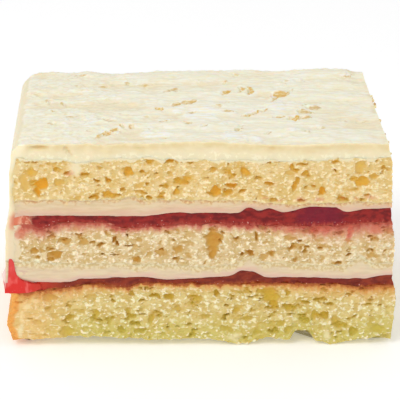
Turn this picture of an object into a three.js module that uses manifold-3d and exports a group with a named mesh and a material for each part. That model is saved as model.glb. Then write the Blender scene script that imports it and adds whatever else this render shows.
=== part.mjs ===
// A corner piece of a three-layer strawberry slab cake, in millimetres, +Z up.
// Three sponges stand on each other with jam and cream between them. Frosting covers the top and
// runs down the two outer sides, at the left and at the back. The front and the right are cut.
import * as THREE from "three";
import { mergeVertices } from "three/addons/utils/BufferGeometryUtils.js";
import Module from "manifold-3d";

const wasm = await Module();
wasm.setup();

// ---- Driving dimensions ----
const NOMINAL_HALF_WIDTH = 48; // across the cut front, to where the layer heights are stated
const DEPTH = 66; // from the cut front to the frosted back
const FRONT_Y = -DEPTH / 2;
const BACK_Y = DEPTH / 2;
const GAP = 0.3; // kept between pieces that touch
const CORNER_RADIUS = 6.5; // of the frosted upright corner at the back left
const HEIGHT_FADE = 16; // the cut front's layer heights even out over this depth
const SWAY = 0.4; // how far a layer's height wanders inside the cake
const SWAY_LENGTH = [14, 11]; // along x and y
const INSET_REACH = 30; // over which the frosted sides' thickness fades out of the plan

// Where the sides are at each height above the table, as [height, x], and how far the back swells
// out there. The cake sags a little.
const LEFT_SIDE = [
  [0, -48],
  [2.5, -48.6],
  [6.2, -49.8],
  [8.4, -48.9],
  [14.4, -48.3],
  [15.4, -50],
  [19.4, -49.7],
  [31.4, -49.5],
  [37.4, -48.4],
  [46.4, -48.2],
  [51.4, -47.7],
  [54.9, -46.8],
];
const RIGHT_SIDE = [
  [0, 49.4],
  [8.4, 50],
  [12.4, 50.3],
  [19.4, 49.3],
  [27.4, 49.4],
  [36.4, 48.4],
  [48.4, 48],
  [55.4, 46.9],
];
const BACK_SWELL = [
  [0, -1.2],
  [6.4, 0.2],
  [14.4, -0.8],
  [17.4, 0.3],
  [36.4, -0.4],
  [54.9, -1.2],
];

// Height of each boundary along the cut front, as [x, height], from the table up.
const BASE_EDGE = [
  [-48, 2.4],
  [-44, 1.8],
  [-30, 2.5],
  [-10, 1.4],
  [0, 1.6],
  [11, 0.2],
  [17, 2],
  [22, 1.2],
  [24, 3.9],
  [27, 3.9],
  [29, 0.9],
  [33, 0],
  [41, 1.4],
  [48, 2.8],
];
const HIDDEN_EDGE = { height: 0.9, sway: 0.5, length: 5 }; // of the base's edge on the other sides
const FOOT_INSET = 2.4; // of the flat face that the cake stands on
const FOOT_TRIM = [0.025, 0.04]; // share of the width and the depth that it stays back at each end
const JAM_LOWER_BASE = [
  [-48, 14.9],
  [-44, 14.9],
  [-36, 16],
  [-27, 16.9],
  [-19, 16.3],
  [-14, 17.4],
  [-6, 17.1],
  [15, 17],
  [33, 17.1],
  [40, 16],
  [48, 16.5],
];
const CREAM_LOWER_BASE = [
  [-48, 17.7],
  [-33, 17.8],
  [-29, 18.7],
  [-14, 19.2],
  [-8, 18.4],
  [7, 19.2],
  [10.8, 20.8],
  [12.8, 20.6],
  [16.5, 18.9],
  [40, 18.5],
  [48, 19.4],
];
const SPONGE_MIDDLE_BASE = [
  [-48, 23.8],
  [-36, 22.9],
  [-8, 22.5],
  [3, 21.9],
  [8, 22.6],
  [12, 24.3],
  [15.5, 22.8],
  [36, 22],
  [40, 24.5],
  [43.5, 22.3],
  [48, 22.5],
];
const JAM_UPPER_BASE = [
  [-48, 32.6],
  [-44, 33.5],
  [-39.5, 32.4],
  [-34, 33.7],
  [-25, 33.7],
  [-20, 32.6],
  [6, 33.4],
  [30, 32.6],
  [48, 33.8],
];
const CREAM_UPPER_BASE = [
  [-48, 35.2],
  [-44, 35.8],
  [-16, 35.7],
  [-6, 36.5],
  [9, 36.4],
  [12, 37.8],
  [14.5, 36.9],
  [17, 37.7],
  [20.5, 36.6],
  [28.5, 38],
  [34, 37.9],
  [36.7, 36.6],
  [42, 37.4],
  [48, 37.6],
];
const SPONGE_TOP_BASE = [
  [-48, 39.9],
  [-21, 40],
  [-17.4, 41.2],
  [-14, 40],
  [8, 39.8],
  [22, 38.8],
  [40, 39.3],
  [48, 39],
];
const FROSTING_BASE = [
  [-48, 51.3],
  [-42, 50.6],
  [-36, 50.8],
  [-31, 49.6],
  [-26, 50.8],
  [-15, 51.2],
  [-7, 50.7],
  [24, 50.4],
  [48, 51.1],
];
const FROSTING_TOP_BACK = [
  [-48, 55],
  [0, 55.3],
  [24, 55.4],
  [35, 55.8],
  [42, 56],
  [46, 55.1],
]; // along the back edge
const FROSTING_TOP = [
  [-48, 54.7],
  [-20, 55.1],
  [0, 55],
  [20, 54.6],
  [48, 54.4],
];

// Frosting
const SKIN_THICKNESS = [
  [20, 2.6],
  [31, 2.4],
  [36, 1.7],
  [42, 1.2],
  [51, 1.3],
]; // [height, how thick the frosting is on the outer sides]
const EDGE_RADIUS = 2.6; // of the frosting's rounded outer edges
const STROKE_HEIGHT = 0.5; // of the spatula marks
const STROKE_LENGTH = 19;
const STROKE_WIDTH = 4.5;
const CORE_OVERHANG = 5; // of what the frosting wraps, past the cut faces
const CORE_BASE = 18; // its lowest height
// Places where the spatula tore the frosting: [x, y, half length, half width, depth].
const TORN_SPOTS = [
  [-24, -24, 2.6, 3, 0.9],
  [-22.5, -15.5, 3, 3.4, 0.7],
  [-10, -4, 2, 2.6, 0.7],
  [-4, 2, 4.4, 3, 0.8],
  [8, 10.5, 2.4, 3, 0.9],
  [13.5, 12.5, 2.6, 4, 0.9],
  [21.5, 10, 2.8, 4, 0.9],
  [14.5, -7.5, 3.8, 3, 0.8],
  [26, -10.5, 3, 3, 1.3],
  [29.5, -3.5, 3.2, 4.4, 0.9],
  [10, -19.5, 2.4, 3, 0.6],
];

// Crumb of the cut faces
const CRUMB_DEPTH = 0.7; // of the fine relief
const CRUMB_SIZE = 3.4;
const RELIEF_MARGIN = 0.4; // share of a layer's height over which the relief fades in
// The largest holes in the cut front: [x, height, half width, half height, depth].
const HOLES_TOP = [
  [-41.5, 48.2, 2, 2, 1.4],
  [-40.3, 44.2, 2.6, 2.2, 2.2],
  [-18.5, 47.8, 1.5, 1.7, 1.6],
  [3.7, 42.9, 2.1, 1.8, 2],
  [7.8, 43.8, 2, 1.3, 1.6],
  [23.6, 44, 1.5, 2.1, 1.6],
  [40.5, 44.8, 2.1, 2.5, 1.8],
];
const HOLES_MIDDLE = [
  [-34.4, 29, 2.2, 1.9, 1.7],
  [-37, 25.7, 2.3, 1.7, 2],
  [-42.8, 26.6, 1.6, 1.4, 1.4],
  [-21.6, 29.1, 1.3, 1.9, 1.6],
  [3, 28, 2.7, 3.4, 2.2],
  [12.6, 26, 2.1, 1.3, 1.6],
];
const HOLES_BOTTOM = [
  [17, 13.6, 3, 2.7, 1.8],
  [-11, 13.6, 3.4, 1.4, 1.4],
  [-33.4, 8, 1.9, 1.6, 1.4],
  [-35, 4.4, 1.8, 1.6, 1.2],
  [8.7, 9.8, 1.6, 1.7, 1.2],
  [39, 4, 1.6, 1.6, 1.2],
];

// Jam that was squeezed out at the left and climbs the side: its cross-section, as [x, rise above
// the underside of the jam].
const LIP_OUTSIDE = [
  [-49.9, 0.3],
  [-49.6, 3],
  [-49.3, 6],
  [-48.7, 8.7],
];
const LIP_INSIDE = [
  [-47.7, 7.3],
  [-46.9, 5.1],
  [-45.4, 3.7],
  [-43.6, 3],
  [-41, 1.4],
];
const LIP_CLEARANCE = 3; // cut away outside it
const LIP_LENGTH = 34; // along the left side, from the cut front
const LIP_STEPS = 14;
const LIP_FOOT_RISE = 0.6; // of its inner toe
const LIP_TAPER_START = 0.1; // share of its length after which it gets lower
const LIP_BACK_HEIGHT = 0.3; // share of its height that is left at the back
const LIP_WING = 2.2; // how far a thin wing of it stands out
const LIP_WING_RISE = 3;
const LIP_WING_Y = FRONT_Y + 5;
const LIP_WING_SPAN = 3.2;

// Mesh steps along the four sides, and the rows of each kind of layer
const STEPS = { front: 54, right: 30, back: 12, left: 12 };
const SPONGE_ROWS = 7;
const FILLING_ROWS = 2;
const CORE_ROWS = 7;
const FROSTING_CELLS = { columns: 38, lines: 26, rows: 5 };
const EDGE_CELLS = 4; // of the columns and the lines, crowded into the rounded edge
const EDGE_SHARE = 0.045; // of the width and the depth that those cells cover

const SEEDS = { crumbTop: 3, crumbMiddle: 5, crumbBottom: 7, hiddenEdge: 11, strokes: 17 };

// ---- Helpers ----
const { lerp, clamp, smoothstep } = THREE.MathUtils;

// A smooth curve through knots given as [position, value].
function curve(knots, at) {
  if (at <= knots[0][0]) return knots[0][1];
  for (let i = 1; i < knots.length; i++) {
    const [start, from] = knots[i - 1];
    const [end, to] = knots[i];
    if (at <= end) return lerp(from, to, smoothstep(at, start, end));
  }
  return knots[knots.length - 1][1];
}

// Smooth noise from -1 to 1, the same each time.
function latticeValue(i, j, seed) {
  const s = Math.sin(i * 127.1 + j * 311.7 + seed * 74.7) * 43758.5453;
  return 2 * (s - Math.floor(s)) - 1;
}

function noise(x, y, seed) {
  const i = Math.floor(x);
  const j = Math.floor(y);
  const u = smoothstep(x - i, 0, 1);
  const v = smoothstep(y - j, 0, 1);
  const low = lerp(latticeValue(i, j, seed), latticeValue(i + 1, j, seed), u);
  const high = lerp(latticeValue(i, j + 1, seed), latticeValue(i + 1, j + 1, seed), u);
  return lerp(low, high, v);
}

// The height of a boundary at a place in the cake: the cut front's own line, which evens out inwards.
function boundaryHeight(knots, x, y) {
  const average = knots.reduce((sum, [, z]) => sum + z, 0) / knots.length;
  const across = Math.sin(x / SWAY_LENGTH[0] + average);
  const along = Math.cos(y / SWAY_LENGTH[1] + average);
  const inside = average + SWAY * across * along;
  const fade = Math.exp(-(y - FRONT_Y) / HEIGHT_FADE);
  return lerp(inside, curve(knots, x), fade);
}

// A place in plan. u runs from the left side to the right one and v from the front to the back.
// inset moves the two outer sides inwards, less and less over INSET_REACH, and overhang moves the
// two cut faces outwards.
function planPoint(u, v, z, inset = 0, overhang = 0) {
  const left = curve(LEFT_SIDE, z);
  const back = BACK_Y + curve(BACK_SWELL, z);
  let x = lerp(left, curve(RIGHT_SIDE, z) + overhang, u);
  let y = lerp(FRONT_Y - overhang, back, v);
  x += inset * Math.max(0, 1 - (x - left) / INSET_REACH);
  y -= inset * Math.max(0, 1 - (back - y) / INSET_REACH);
  const radius = CORNER_RADIUS - inset;
  const a = Math.max(0, left + inset + radius - x);
  const b = Math.max(0, y - (back - inset - radius));
  if (a > 0 && b > 0) {
    const kept = Math.max(a, b) / Math.hypot(a, b);
    x += a * (1 - kept);
    y -= b * (1 - kept);
  }
  return [x, y];
}

// The places of one ring round the cake, anticlockwise from the front left corner.
const RING = [
  ...Array.from({ length: STEPS.front }, (_, i) => [i / STEPS.front, 0]),
  ...Array.from({ length: STEPS.right }, (_, i) => [1, i / STEPS.right]),
  ...Array.from({ length: STEPS.back }, (_, i) => [1 - i / STEPS.back, 1]),
  ...Array.from({ length: STEPS.left }, (_, i) => [0, 1 - i / STEPS.left]),
];

// A ring whose height is a function of the nominal place. relief gives the depth of the crumb there.
function ring(heightAt, { inset = () => 0, overhang = 0, relief = () => 0 } = {}) {
  return RING.map(([u, v]) => {
    const z = heightAt(lerp(-NOMINAL_HALF_WIDTH, NOMINAL_HALF_WIDTH, u), lerp(FRONT_Y, BACK_Y, v));
    const [x, y] = planPoint(u, v, z, inset(z), overhang);
    const onFront = v === 0 ? relief(x, z, "front") : 0;
    const onRight = u === 1 ? relief(y, z, "right") : 0;
    return [x - onRight, y + onFront, z];
  });
}

// A closed body from rings of equal length, stacked upwards, with a fan of triangles at each end.
function closedBody(rings) {
  const count = RING.length;
  const middle = (points) => [0, 0, points.reduce((sum, p) => sum + p[2], 0) / count];
  const points = [...rings.flat(), middle(rings[0]), middle(rings[rings.length - 1])];
  const lowCentre = rings.length * count;
  const highCentre = lowCentre + 1;
  const faces = [];
  for (let i = 0; i < count; i++) {
    const next = (i + 1) % count;
    faces.push(lowCentre, next, i);
    for (let row = 1; row < rings.length; row++) {
      const low = (row - 1) * count;
      const high = row * count;
      faces.push(low + i, low + next, high + next, low + i, high + next, high + i);
    }
    const top = (rings.length - 1) * count;
    faces.push(highCentre, top + i, top + next);
  }
  const geometry = new THREE.BufferGeometry();
  geometry.setAttribute("position", new THREE.Float32BufferAttribute(points.flat(), 3));
  geometry.setIndex(faces);
  return geometry;
}

// The relief dies out towards the boundaries of a layer.
function reliefShare(share) {
  return Math.min(1, share / RELIEF_MARGIN, (1 - share) / RELIEF_MARGIN);
}

// The rings between two boundaries, each kept half a gap clear.
function stackedRings(base, top, rows, { inset, relief = () => 0 }) {
  return Array.from({ length: rows + 1 }, (_, row) => {
    const share = row / rows;
    const edge = reliefShare(share);
    const heightAt = (x, y) =>
      lerp(boundaryHeight(base, x, y) + GAP / 2, boundaryHeight(top, x, y) - GAP / 2, share);
    return ring(heightAt, { inset, relief: (s, z, face) => edge * relief(s, z, face) });
  });
}

function toSolid(geometry) {
  const bare = geometry.index ? geometry.toNonIndexed() : geometry.clone();
  bare.deleteAttribute("normal");
  bare.deleteAttribute("uv");
  const merged = mergeVertices(bare, 1e-4);
  return new wasm.Manifold(
    new wasm.Mesh({
      numProp: 3,
      vertProperties: merged.attributes.position.array,
      triVerts: new Uint32Array(merged.index.array),
    }),
  );
}

function toGeometry(solid) {
  const { vertProperties, triVerts } = solid.getMesh();
  const geometry = new THREE.BufferGeometry();
  geometry.setAttribute("position", new THREE.BufferAttribute(vertProperties, 3));
  geometry.setIndex(new THREE.BufferAttribute(triVerts, 1));
  return geometry;
}

// ---- Sponges ----

// Depth of the crumb: fine relief everywhere, and the largest holes on the cut front.
function crumb(holes, seed) {
  return (s, z, face) => {
    const fine = CRUMB_DEPTH * (0.5 + 0.5 * noise(s / CRUMB_SIZE, z / CRUMB_SIZE, seed));
    if (face !== "front") return fine;
    return holes.reduce((deepest, [x, height, halfWidth, halfHeight, depth]) => {
      const away = Math.hypot((s - x) / halfWidth, (z - height) / halfHeight);
      return away < 1 ? Math.max(deepest, depth * Math.sqrt(1 - away * away)) : deepest;
    }, fine);
  };
}

// Sponges and fillings between the skins stay clear of the frosting on the two outer sides.
const behindSkin = (z) => curve(SKIN_THICKNESS, z) + GAP;

function spongeTop() {
  const relief = crumb(HOLES_TOP, SEEDS.crumbTop);
  return closedBody(
    stackedRings(SPONGE_TOP_BASE, FROSTING_BASE, SPONGE_ROWS, { inset: behindSkin, relief }),
  );
}

function spongeMiddle() {
  const relief = crumb(HOLES_MIDDLE, SEEDS.crumbMiddle);
  return closedBody(
    stackedRings(SPONGE_MIDDLE_BASE, JAM_UPPER_BASE, SPONGE_ROWS, { inset: behindSkin, relief }),
  );
}

// The bottom sponge stands on a flat base whose edge is broken away under the cut front.
function spongeBottom() {
  const [sideTrim, endTrim] = FOOT_TRIM;
  const foot = RING.map(([u, v]) => {
    const across = clamp(u, sideTrim, 1 - sideTrim);
    const along = clamp(v, endTrim, 1 - endTrim);
    return [...planPoint(across, along, 0, FOOT_INSET), 0];
  });
  const relief = crumb(HOLES_BOTTOM, SEEDS.crumbBottom);
  const { height, sway, length } = HIDDEN_EDGE;
  const hiddenEdge = (x, y) => height + sway * noise(x / length, y / length, SEEDS.hiddenEdge);
  const edgeHeight = (x, y) => (y === FRONT_Y ? curve(BASE_EDGE, x) : hiddenEdge(x, y));
  const rows = Array.from({ length: SPONGE_ROWS + 1 }, (_, row) => {
    const share = row / SPONGE_ROWS;
    const edge = reliefShare(share);
    const heightAt = (x, y) =>
      lerp(edgeHeight(x, y), boundaryHeight(JAM_LOWER_BASE, x, y) - GAP / 2, share);
    return ring(heightAt, { relief: (s, z, face) => edge * relief(s, z, face) });
  });
  return closedBody([foot, ...rows]);
}

// ---- Jam and cream ----

// The squeezed-out jam. grow widens it into its neighbours, for cutting them back.
function lip(grow) {
  const inside = LIP_INSIDE.map(([x, rise]) => [x + grow, rise + grow]);
  const [[footX, footRise], ...flank] = LIP_OUTSIDE;
  const outside = grow
    ? [[footX - LIP_CLEARANCE, footRise], [footX - LIP_CLEARANCE, LIP_OUTSIDE[3][1] + 2 * grow]]
    : [[footX, footRise], ...flank.slice(0, 2)];
  const tip = [LIP_OUTSIDE[3][0] + grow, LIP_OUTSIDE[3][1] + grow];
  const outline = [...outside, tip, ...inside, [LIP_INSIDE[4][0] + grow, LIP_FOOT_RISE]];
  const shape = new THREE.Shape(outline.map(([x, rise]) => new THREE.Vector2(x, rise)).reverse());
  const geometry = new THREE.ExtrudeGeometry(shape, {
    depth: LIP_LENGTH + 2 * grow,
    steps: LIP_STEPS,
    bevelEnabled: false,
  });
  geometry.rotateX(Math.PI / 2);
  geometry.translate(0, FRONT_Y + LIP_LENGTH + grow, 0);
  const places = geometry.attributes.position;
  for (let i = 0; i < places.count; i++) {
    const x = places.getX(i);
    const y = places.getY(i);
    const rise = places.getZ(i);
    const along = clamp((y - FRONT_Y) / LIP_LENGTH, 0, 1);
    const height = lerp(1, LIP_BACK_HEIGHT, smoothstep(along, LIP_TAPER_START, 1));
    const onWing = Math.hypot(y - LIP_WING_Y, rise - LIP_WING_RISE) / LIP_WING_SPAN;
    const wing = x < LIP_INSIDE[0][0] ? LIP_WING * Math.exp(-(onWing ** 2)) : 0;
    const foot = boundaryHeight(JAM_LOWER_BASE, x, y) + GAP / 2;
    places.setXYZ(i, x - wing, y, foot + rise * height);
  }
  return toSolid(geometry);
}

function jamLower() {
  const sheet = closedBody(
    stackedRings(JAM_LOWER_BASE, CREAM_LOWER_BASE, FILLING_ROWS, { inset: () => 0 }),
  );
  return toGeometry(toSolid(sheet).add(lip(0)));
}

function creamLower() {
  const sheet = closedBody(
    stackedRings(CREAM_LOWER_BASE, SPONGE_MIDDLE_BASE, FILLING_ROWS, { inset: () => 0 }),
  );
  return toGeometry(toSolid(sheet).subtract(lip(GAP)));
}

function jamUpper() {
  return closedBody(
    stackedRings(JAM_UPPER_BASE, CREAM_UPPER_BASE, FILLING_ROWS, { inset: behindSkin }),
  );
}

function creamUpper() {
  return closedBody(
    stackedRings(CREAM_UPPER_BASE, SPONGE_TOP_BASE, FILLING_ROWS, { inset: behindSkin }),
  );
}

// ---- Frosting ----

// How far the top lies below its nominal height at a distance from a rounded edge.
function edgeDrop(distance) {
  const inside = Math.max(0, EDGE_RADIUS - distance);
  return EDGE_RADIUS - Math.sqrt(EDGE_RADIUS ** 2 - inside ** 2);
}

function frostingHeight(x, y) {
  const strokes = STROKE_HEIGHT * noise(x / STROKE_LENGTH, y / STROKE_WIDTH, SEEDS.strokes);
  const torn = TORN_SPOTS.reduce((deepest, [spotX, spotY, halfLength, halfWidth, depth]) => {
    const away = Math.hypot((x - spotX) / halfLength, (y - spotY) / halfWidth);
    return away < 1 ? Math.max(deepest, depth * (1 - away * away)) : deepest;
  }, 0);
  const rise = smoothstep(y, 0, BACK_Y);
  return lerp(curve(FROSTING_TOP, x), curve(FROSTING_TOP_BACK, x), rise) + strokes - torn;
}

// A block with the frosting's outer form. Its columns crowd at the two rounded edges.
function frostingBlock() {
  const { columns, lines, rows } = FROSTING_CELLS;
  const block = new THREE.BoxGeometry(1, 1, 1, columns, lines, rows);
  const places = block.attributes.position;
  const leftKnot = EDGE_CELLS / columns;
  const backKnot = EDGE_CELLS / lines;
  for (let i = 0; i < places.count; i++) {
    const column = places.getX(i) + 0.5;
    const line = places.getY(i) + 0.5;
    const share = places.getZ(i) + 0.5;
    const u =
      column < leftKnot
        ? (column / leftKnot) * EDGE_SHARE
        : lerp(EDGE_SHARE, 1, (column - leftKnot) / (1 - leftKnot));
    const v =
      line > 1 - backKnot
        ? 1 - ((1 - line) / backKnot) * EDGE_SHARE
        : (line / (1 - backKnot)) * (1 - EDGE_SHARE);
    const nominalX = lerp(-NOMINAL_HALF_WIDTH, NOMINAL_HALF_WIDTH, u);
    const nominalY = lerp(FRONT_Y, BACK_Y, v);
    const fromLeft = u * 2 * NOMINAL_HALF_WIDTH;
    const fromBack = (1 - v) * DEPTH;
    const drop = Math.min(EDGE_RADIUS, edgeDrop(fromLeft) + edgeDrop(fromBack));
    const low = boundaryHeight(SPONGE_MIDDLE_BASE, nominalX, nominalY) + GAP / 2;
    const z = lerp(low, frostingHeight(nominalX, nominalY) - drop, share);
    const [x, y] = planPoint(u, v, z);
    places.setXYZ(i, x, y, z);
  }
  return toSolid(block);
}

// What the frosting wraps: everything inside the skins and under the top, run out past the cut faces.
function frostingCore() {
  const inset = (z) => curve(SKIN_THICKNESS, z);
  const ceiling = (x, y) => boundaryHeight(FROSTING_BASE, x, y) + GAP / 2;
  const walls = Array.from({ length: CORE_ROWS + 1 }, (_, row) => {
    const heightAt = (x, y) => lerp(CORE_BASE, ceiling(x, y), row / CORE_ROWS);
    return ring(heightAt, { inset, overhang: CORE_OVERHANG });
  });
  const rim = ring(ceiling, { inset });
  return toSolid(closedBody([...walls, rim]));
}

function frosting() {
  return toGeometry(frostingBlock().subtract(frostingCore()).subtract(lip(GAP)));
}

// ---- Assembly ----

function piece(name, geometry, color, roughness) {
  const flat = geometry.index ? geometry.toNonIndexed() : geometry;
  flat.computeVertexNormals();
  const mesh = new THREE.Mesh(
    flat,
    new THREE.MeshStandardMaterial({ color, roughness, metalness: 0 }),
  );
  mesh.name = name;
  return mesh;
}

const CRUMB_COLOUR = 0xe4cb96;
const BASE_CRUMB_COLOUR = 0xd4be82;
const CREAM_COLOUR = 0xe6d2b2;
const JAM_COLOUR = 0x8a2a22;
const FROSTING_COLOUR = 0xf3ead2;

const cake = new THREE.Group();
cake.add(
  piece("sponge_bottom", spongeBottom(), BASE_CRUMB_COLOUR, 0.9),
  piece("jam_lower", jamLower(), JAM_COLOUR, 0.3),
  piece("cream_lower", creamLower(), CREAM_COLOUR, 0.5),
  piece("sponge_middle", spongeMiddle(), CRUMB_COLOUR, 0.9),
  piece("jam_upper", jamUpper(), JAM_COLOUR, 0.3),
  piece("cream_upper", creamUpper(), CREAM_COLOUR, 0.5),
  piece("sponge_top", spongeTop(), CRUMB_COLOUR, 0.9),
  piece("frosting", frosting(), FROSTING_COLOUR, 0.5),
);

// The origin is under the middle of the whole, on the table.
const extent = new THREE.Box3().setFromObject(cake, true);
const centre = extent.getCenter(new THREE.Vector3());
cake.position.set(-centre.x, -centre.y, -extent.min.z);

export default cake;
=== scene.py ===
# %% [markdown]
# # A slice of strawberry layer cake
# The real thing is a corner piece of a slab cake: three sponges with jam and cream between them, and
# buttercream spread over the top and down the two outer sides. A knife cut its front and its right
# side, so those two show the inside of every layer.
# A solid model of the cake is packed already and fixes every size. This script loads it first, then
# builds each layer again in the same place, with the crumb, smears and colours that a solid lacks.

# %% Load the solids
import math

import bpy
import numpy as np
from mathutils import Matrix, Vector


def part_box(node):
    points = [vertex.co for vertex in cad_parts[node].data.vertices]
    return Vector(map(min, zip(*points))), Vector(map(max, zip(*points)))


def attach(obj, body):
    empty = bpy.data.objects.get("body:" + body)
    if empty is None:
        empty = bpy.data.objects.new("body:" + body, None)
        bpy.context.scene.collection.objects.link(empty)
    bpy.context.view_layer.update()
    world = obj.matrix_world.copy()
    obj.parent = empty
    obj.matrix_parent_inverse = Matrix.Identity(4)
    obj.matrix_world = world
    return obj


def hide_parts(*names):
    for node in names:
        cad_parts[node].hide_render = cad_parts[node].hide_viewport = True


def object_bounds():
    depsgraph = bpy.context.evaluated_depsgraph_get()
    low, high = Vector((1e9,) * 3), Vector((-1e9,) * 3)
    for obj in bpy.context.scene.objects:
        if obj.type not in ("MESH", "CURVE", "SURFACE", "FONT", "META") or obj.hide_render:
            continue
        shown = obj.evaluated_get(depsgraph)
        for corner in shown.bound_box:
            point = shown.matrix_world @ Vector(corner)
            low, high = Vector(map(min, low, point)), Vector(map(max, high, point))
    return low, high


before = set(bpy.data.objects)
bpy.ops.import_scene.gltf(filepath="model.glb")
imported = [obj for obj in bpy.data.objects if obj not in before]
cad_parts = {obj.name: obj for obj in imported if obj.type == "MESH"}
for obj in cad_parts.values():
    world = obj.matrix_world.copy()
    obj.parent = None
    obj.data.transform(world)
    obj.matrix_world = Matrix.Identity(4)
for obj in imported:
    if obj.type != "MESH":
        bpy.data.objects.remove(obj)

solid_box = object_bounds()
print("solids:", sorted(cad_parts), "from", solid_box[0], "to", solid_box[1])

# %% [markdown]
# ## Where the layers lie
# A layer is known by the line where it meets the next one on the cut front. Each line is a few
# knots of [x, height] with a smooth curve through them: a drawing of the cut would hold the same.
# Deeper in, the lines even out. All sizes are in millimetres and become metres when a mesh is made.

# %% Sizes and lines
MM = 0.001
HALF_WIDTH = 48  # to where the lines are stated
FRONT, BACK = -33, 33
CORNER_RADIUS = 6.5  # of the upright corner at the back left
ORIGIN = np.array([0.782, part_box("sponge_top")[0].y / MM - FRONT, 0])  # under the middle of the box
CUT_INSET = 0.35  # the cut faces lie this far inside the solids', which leaves room for crumbs

LEFT_SIDE = [
    (0, -48), (2.5, -48.4), (6.2, -49.6), (8.6, -49.3), (10.2, -48.4), (14.4, -48.2), (15.4, -50),
    (19.4, -49.7), (31.4, -49.5), (37.4, -48.4), (46.4, -48.2), (51.4, -47.7), (54.9, -46.8),
]
RIGHT_SIDE = [
    (0, 49.4), (8.4, 50), (12.4, 50.3), (19.4, 49.3), (27.4, 49.4), (36.4, 48.4), (48.4, 48),
    (55.4, 46.9),
]
BACK_SWELL = [(0, -1.2), (6.4, 0.1), (14.4, -0.8), (17.4, 0.2), (36.4, -0.4), (54.9, -1.2)]
SKIN_THICKNESS = [(20, 2.6), (31, 2.4), (36, 1.7), (42, 1.2), (51, 1.3)]

BASE_EDGE = [
    (-48, 2.4), (-44, 1.8), (-30, 2.5), (-10, 1.4), (0, 1.6), (11, 0.2), (17, 2), (22, 1.2),
    (24, 3.9), (27, 3.9), (29, 0.9), (33, 0), (41, 1.4), (48, 2.8),
]
JAM_LOWER_BASE = [
    (-48, 14.9), (-44, 14.9), (-36, 16), (-27, 16.9), (-19, 16.3), (-14, 17.4), (-6, 17.1),
    (15, 17), (33, 17.1), (40, 16), (48, 16.5),
]
CREAM_LOWER_BASE = [
    (-48, 17.7), (-33, 17.8), (-29, 18.7), (-14, 19.2), (-8, 18.4), (7, 19.2), (10.8, 20.8),
    (12.8, 20.6), (16.5, 18.9), (40, 18.5), (48, 19.4),
]
SPONGE_MIDDLE_BASE = [
    (-48, 23.8), (-36, 22.9), (-8, 22.5), (3, 21.9), (8, 22.6), (12, 24.3), (15.5, 22.8),
    (36, 22), (40, 24.5), (43.5, 22.3), (48, 22.5),
]
JAM_UPPER_BASE = [
    (-48, 32.6), (-44, 33.5), (-39.5, 32.4), (-34, 33.7), (-25, 33.7), (-20, 32.6), (6, 33.4),
    (30, 32.6), (48, 33.8),
]
CREAM_UPPER_BASE = [
    (-48, 35.2), (-44, 35.8), (-16, 35.7), (-6, 36.5), (9, 36.4), (12, 37.8), (14.5, 36.9),
    (17, 37.7), (20.5, 36.6), (28.5, 38), (34, 37.9), (36.7, 36.6), (42, 37.4), (48, 37.6),
]
SPONGE_TOP_BASE = [
    (-48, 39.9), (-21, 40), (-17.4, 41.2), (-14, 40), (8, 39.8), (22, 38.8), (40, 39.3), (48, 39),
]
FROSTING_BASE = [
    (-48, 51.3), (-42, 50.6), (-36, 50.8), (-31, 49.6), (-26, 50.8), (-15, 51.2), (-7, 50.7),
    (24, 50.4), (48, 51.1),
]
FROSTING_TOP = [(-48, 54.7), (-20, 55.1), (0, 55), (20, 54.6), (48, 54.4)]
FROSTING_TOP_BACK = [(-48, 55), (0, 55.3), (24, 55.4), (35, 55.8), (42, 56), (46, 55.1)]
HEIGHT_FADE = 16  # the lines even out over this depth
SWAY, SWAY_LENGTH = 0.4, (14, 11)  # of a boundary deeper in, by x and by y
RAGGED_LENGTH = 2.6  # about the distance from bump to bump of an uneven edge
HIDDEN_EDGE, HIDDEN_SWAY = 0.9, 0.5  # of the lowest edge, anywhere but at the cut front
CRUMBLED = 0.3  # how much more of the lowest edge is gone, on average

# %% [markdown]
# ## Curves, noise and outlines
# Arrays of points are worked on whole, which is what numpy is for: a curve, a noise or a height is
# asked for a hundred thousand places at once. The noise is a lattice of fixed random values with
# smooth steps between, so each run gives the same cake.

# %% Curves and noise
def smoothstep(value, low=0.0, high=1.0):
    t = np.clip((value - low) / (high - low), 0, 1)
    return t * t * (3 - 2 * t)


def lerp(start, end, share):
    return start + (end - start) * share


def curve(knots, at):
    """A smooth curve through knots of (position, value)."""
    knots = np.asarray(knots, float)
    i = np.clip(np.searchsorted(knots[:, 0], at, side="right") - 1, 0, len(knots) - 2)
    return lerp(knots[i, 1], knots[i + 1, 1], smoothstep(at, knots[i, 0], knots[i + 1, 0]))


def lattice(i, j, seed):
    s = np.sin(i * 127.1 + j * 311.7 + seed * 74.7) * 43758.5453
    return 2 * (s - np.floor(s)) - 1


def noise(x, y, seed):
    """Smooth noise from -1 to 1 in two directions."""
    i, j = np.floor(x), np.floor(y)
    u, v = smoothstep(x - i), smoothstep(y - j)
    low = lerp(lattice(i, j, seed), lattice(i + 1, j, seed), u)
    high = lerp(lattice(i, j + 1, seed), lattice(i + 1, j + 1, seed), u)
    return lerp(low, high, v)


def rough(x, y, seed, octaves=3):
    """Noise with finer and weaker noise added to it."""
    return sum(noise(x * 2.1**k, y * 2.1**k, seed + k) / 2**k for k in range(octaves))


# %% Outlines and boundaries
def boundary(knots, seed, ragged):
    """The height of a line anywhere in the cake, with an uneven edge of the size `ragged`."""
    average = np.mean([height for _, height in knots])

    def height(x, y):
        across, deep = x / SWAY_LENGTH[0], y / SWAY_LENGTH[1]
        inside = average + SWAY * np.sin(across + average) * np.cos(deep + average)
        fade = np.exp(-(y - FRONT) / HEIGHT_FADE)
        uneven = rough(x / RAGGED_LENGTH, y / RAGGED_LENGTH, seed)
        return lerp(inside, curve(knots, x), fade) + ragged * uneven

    return height


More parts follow.
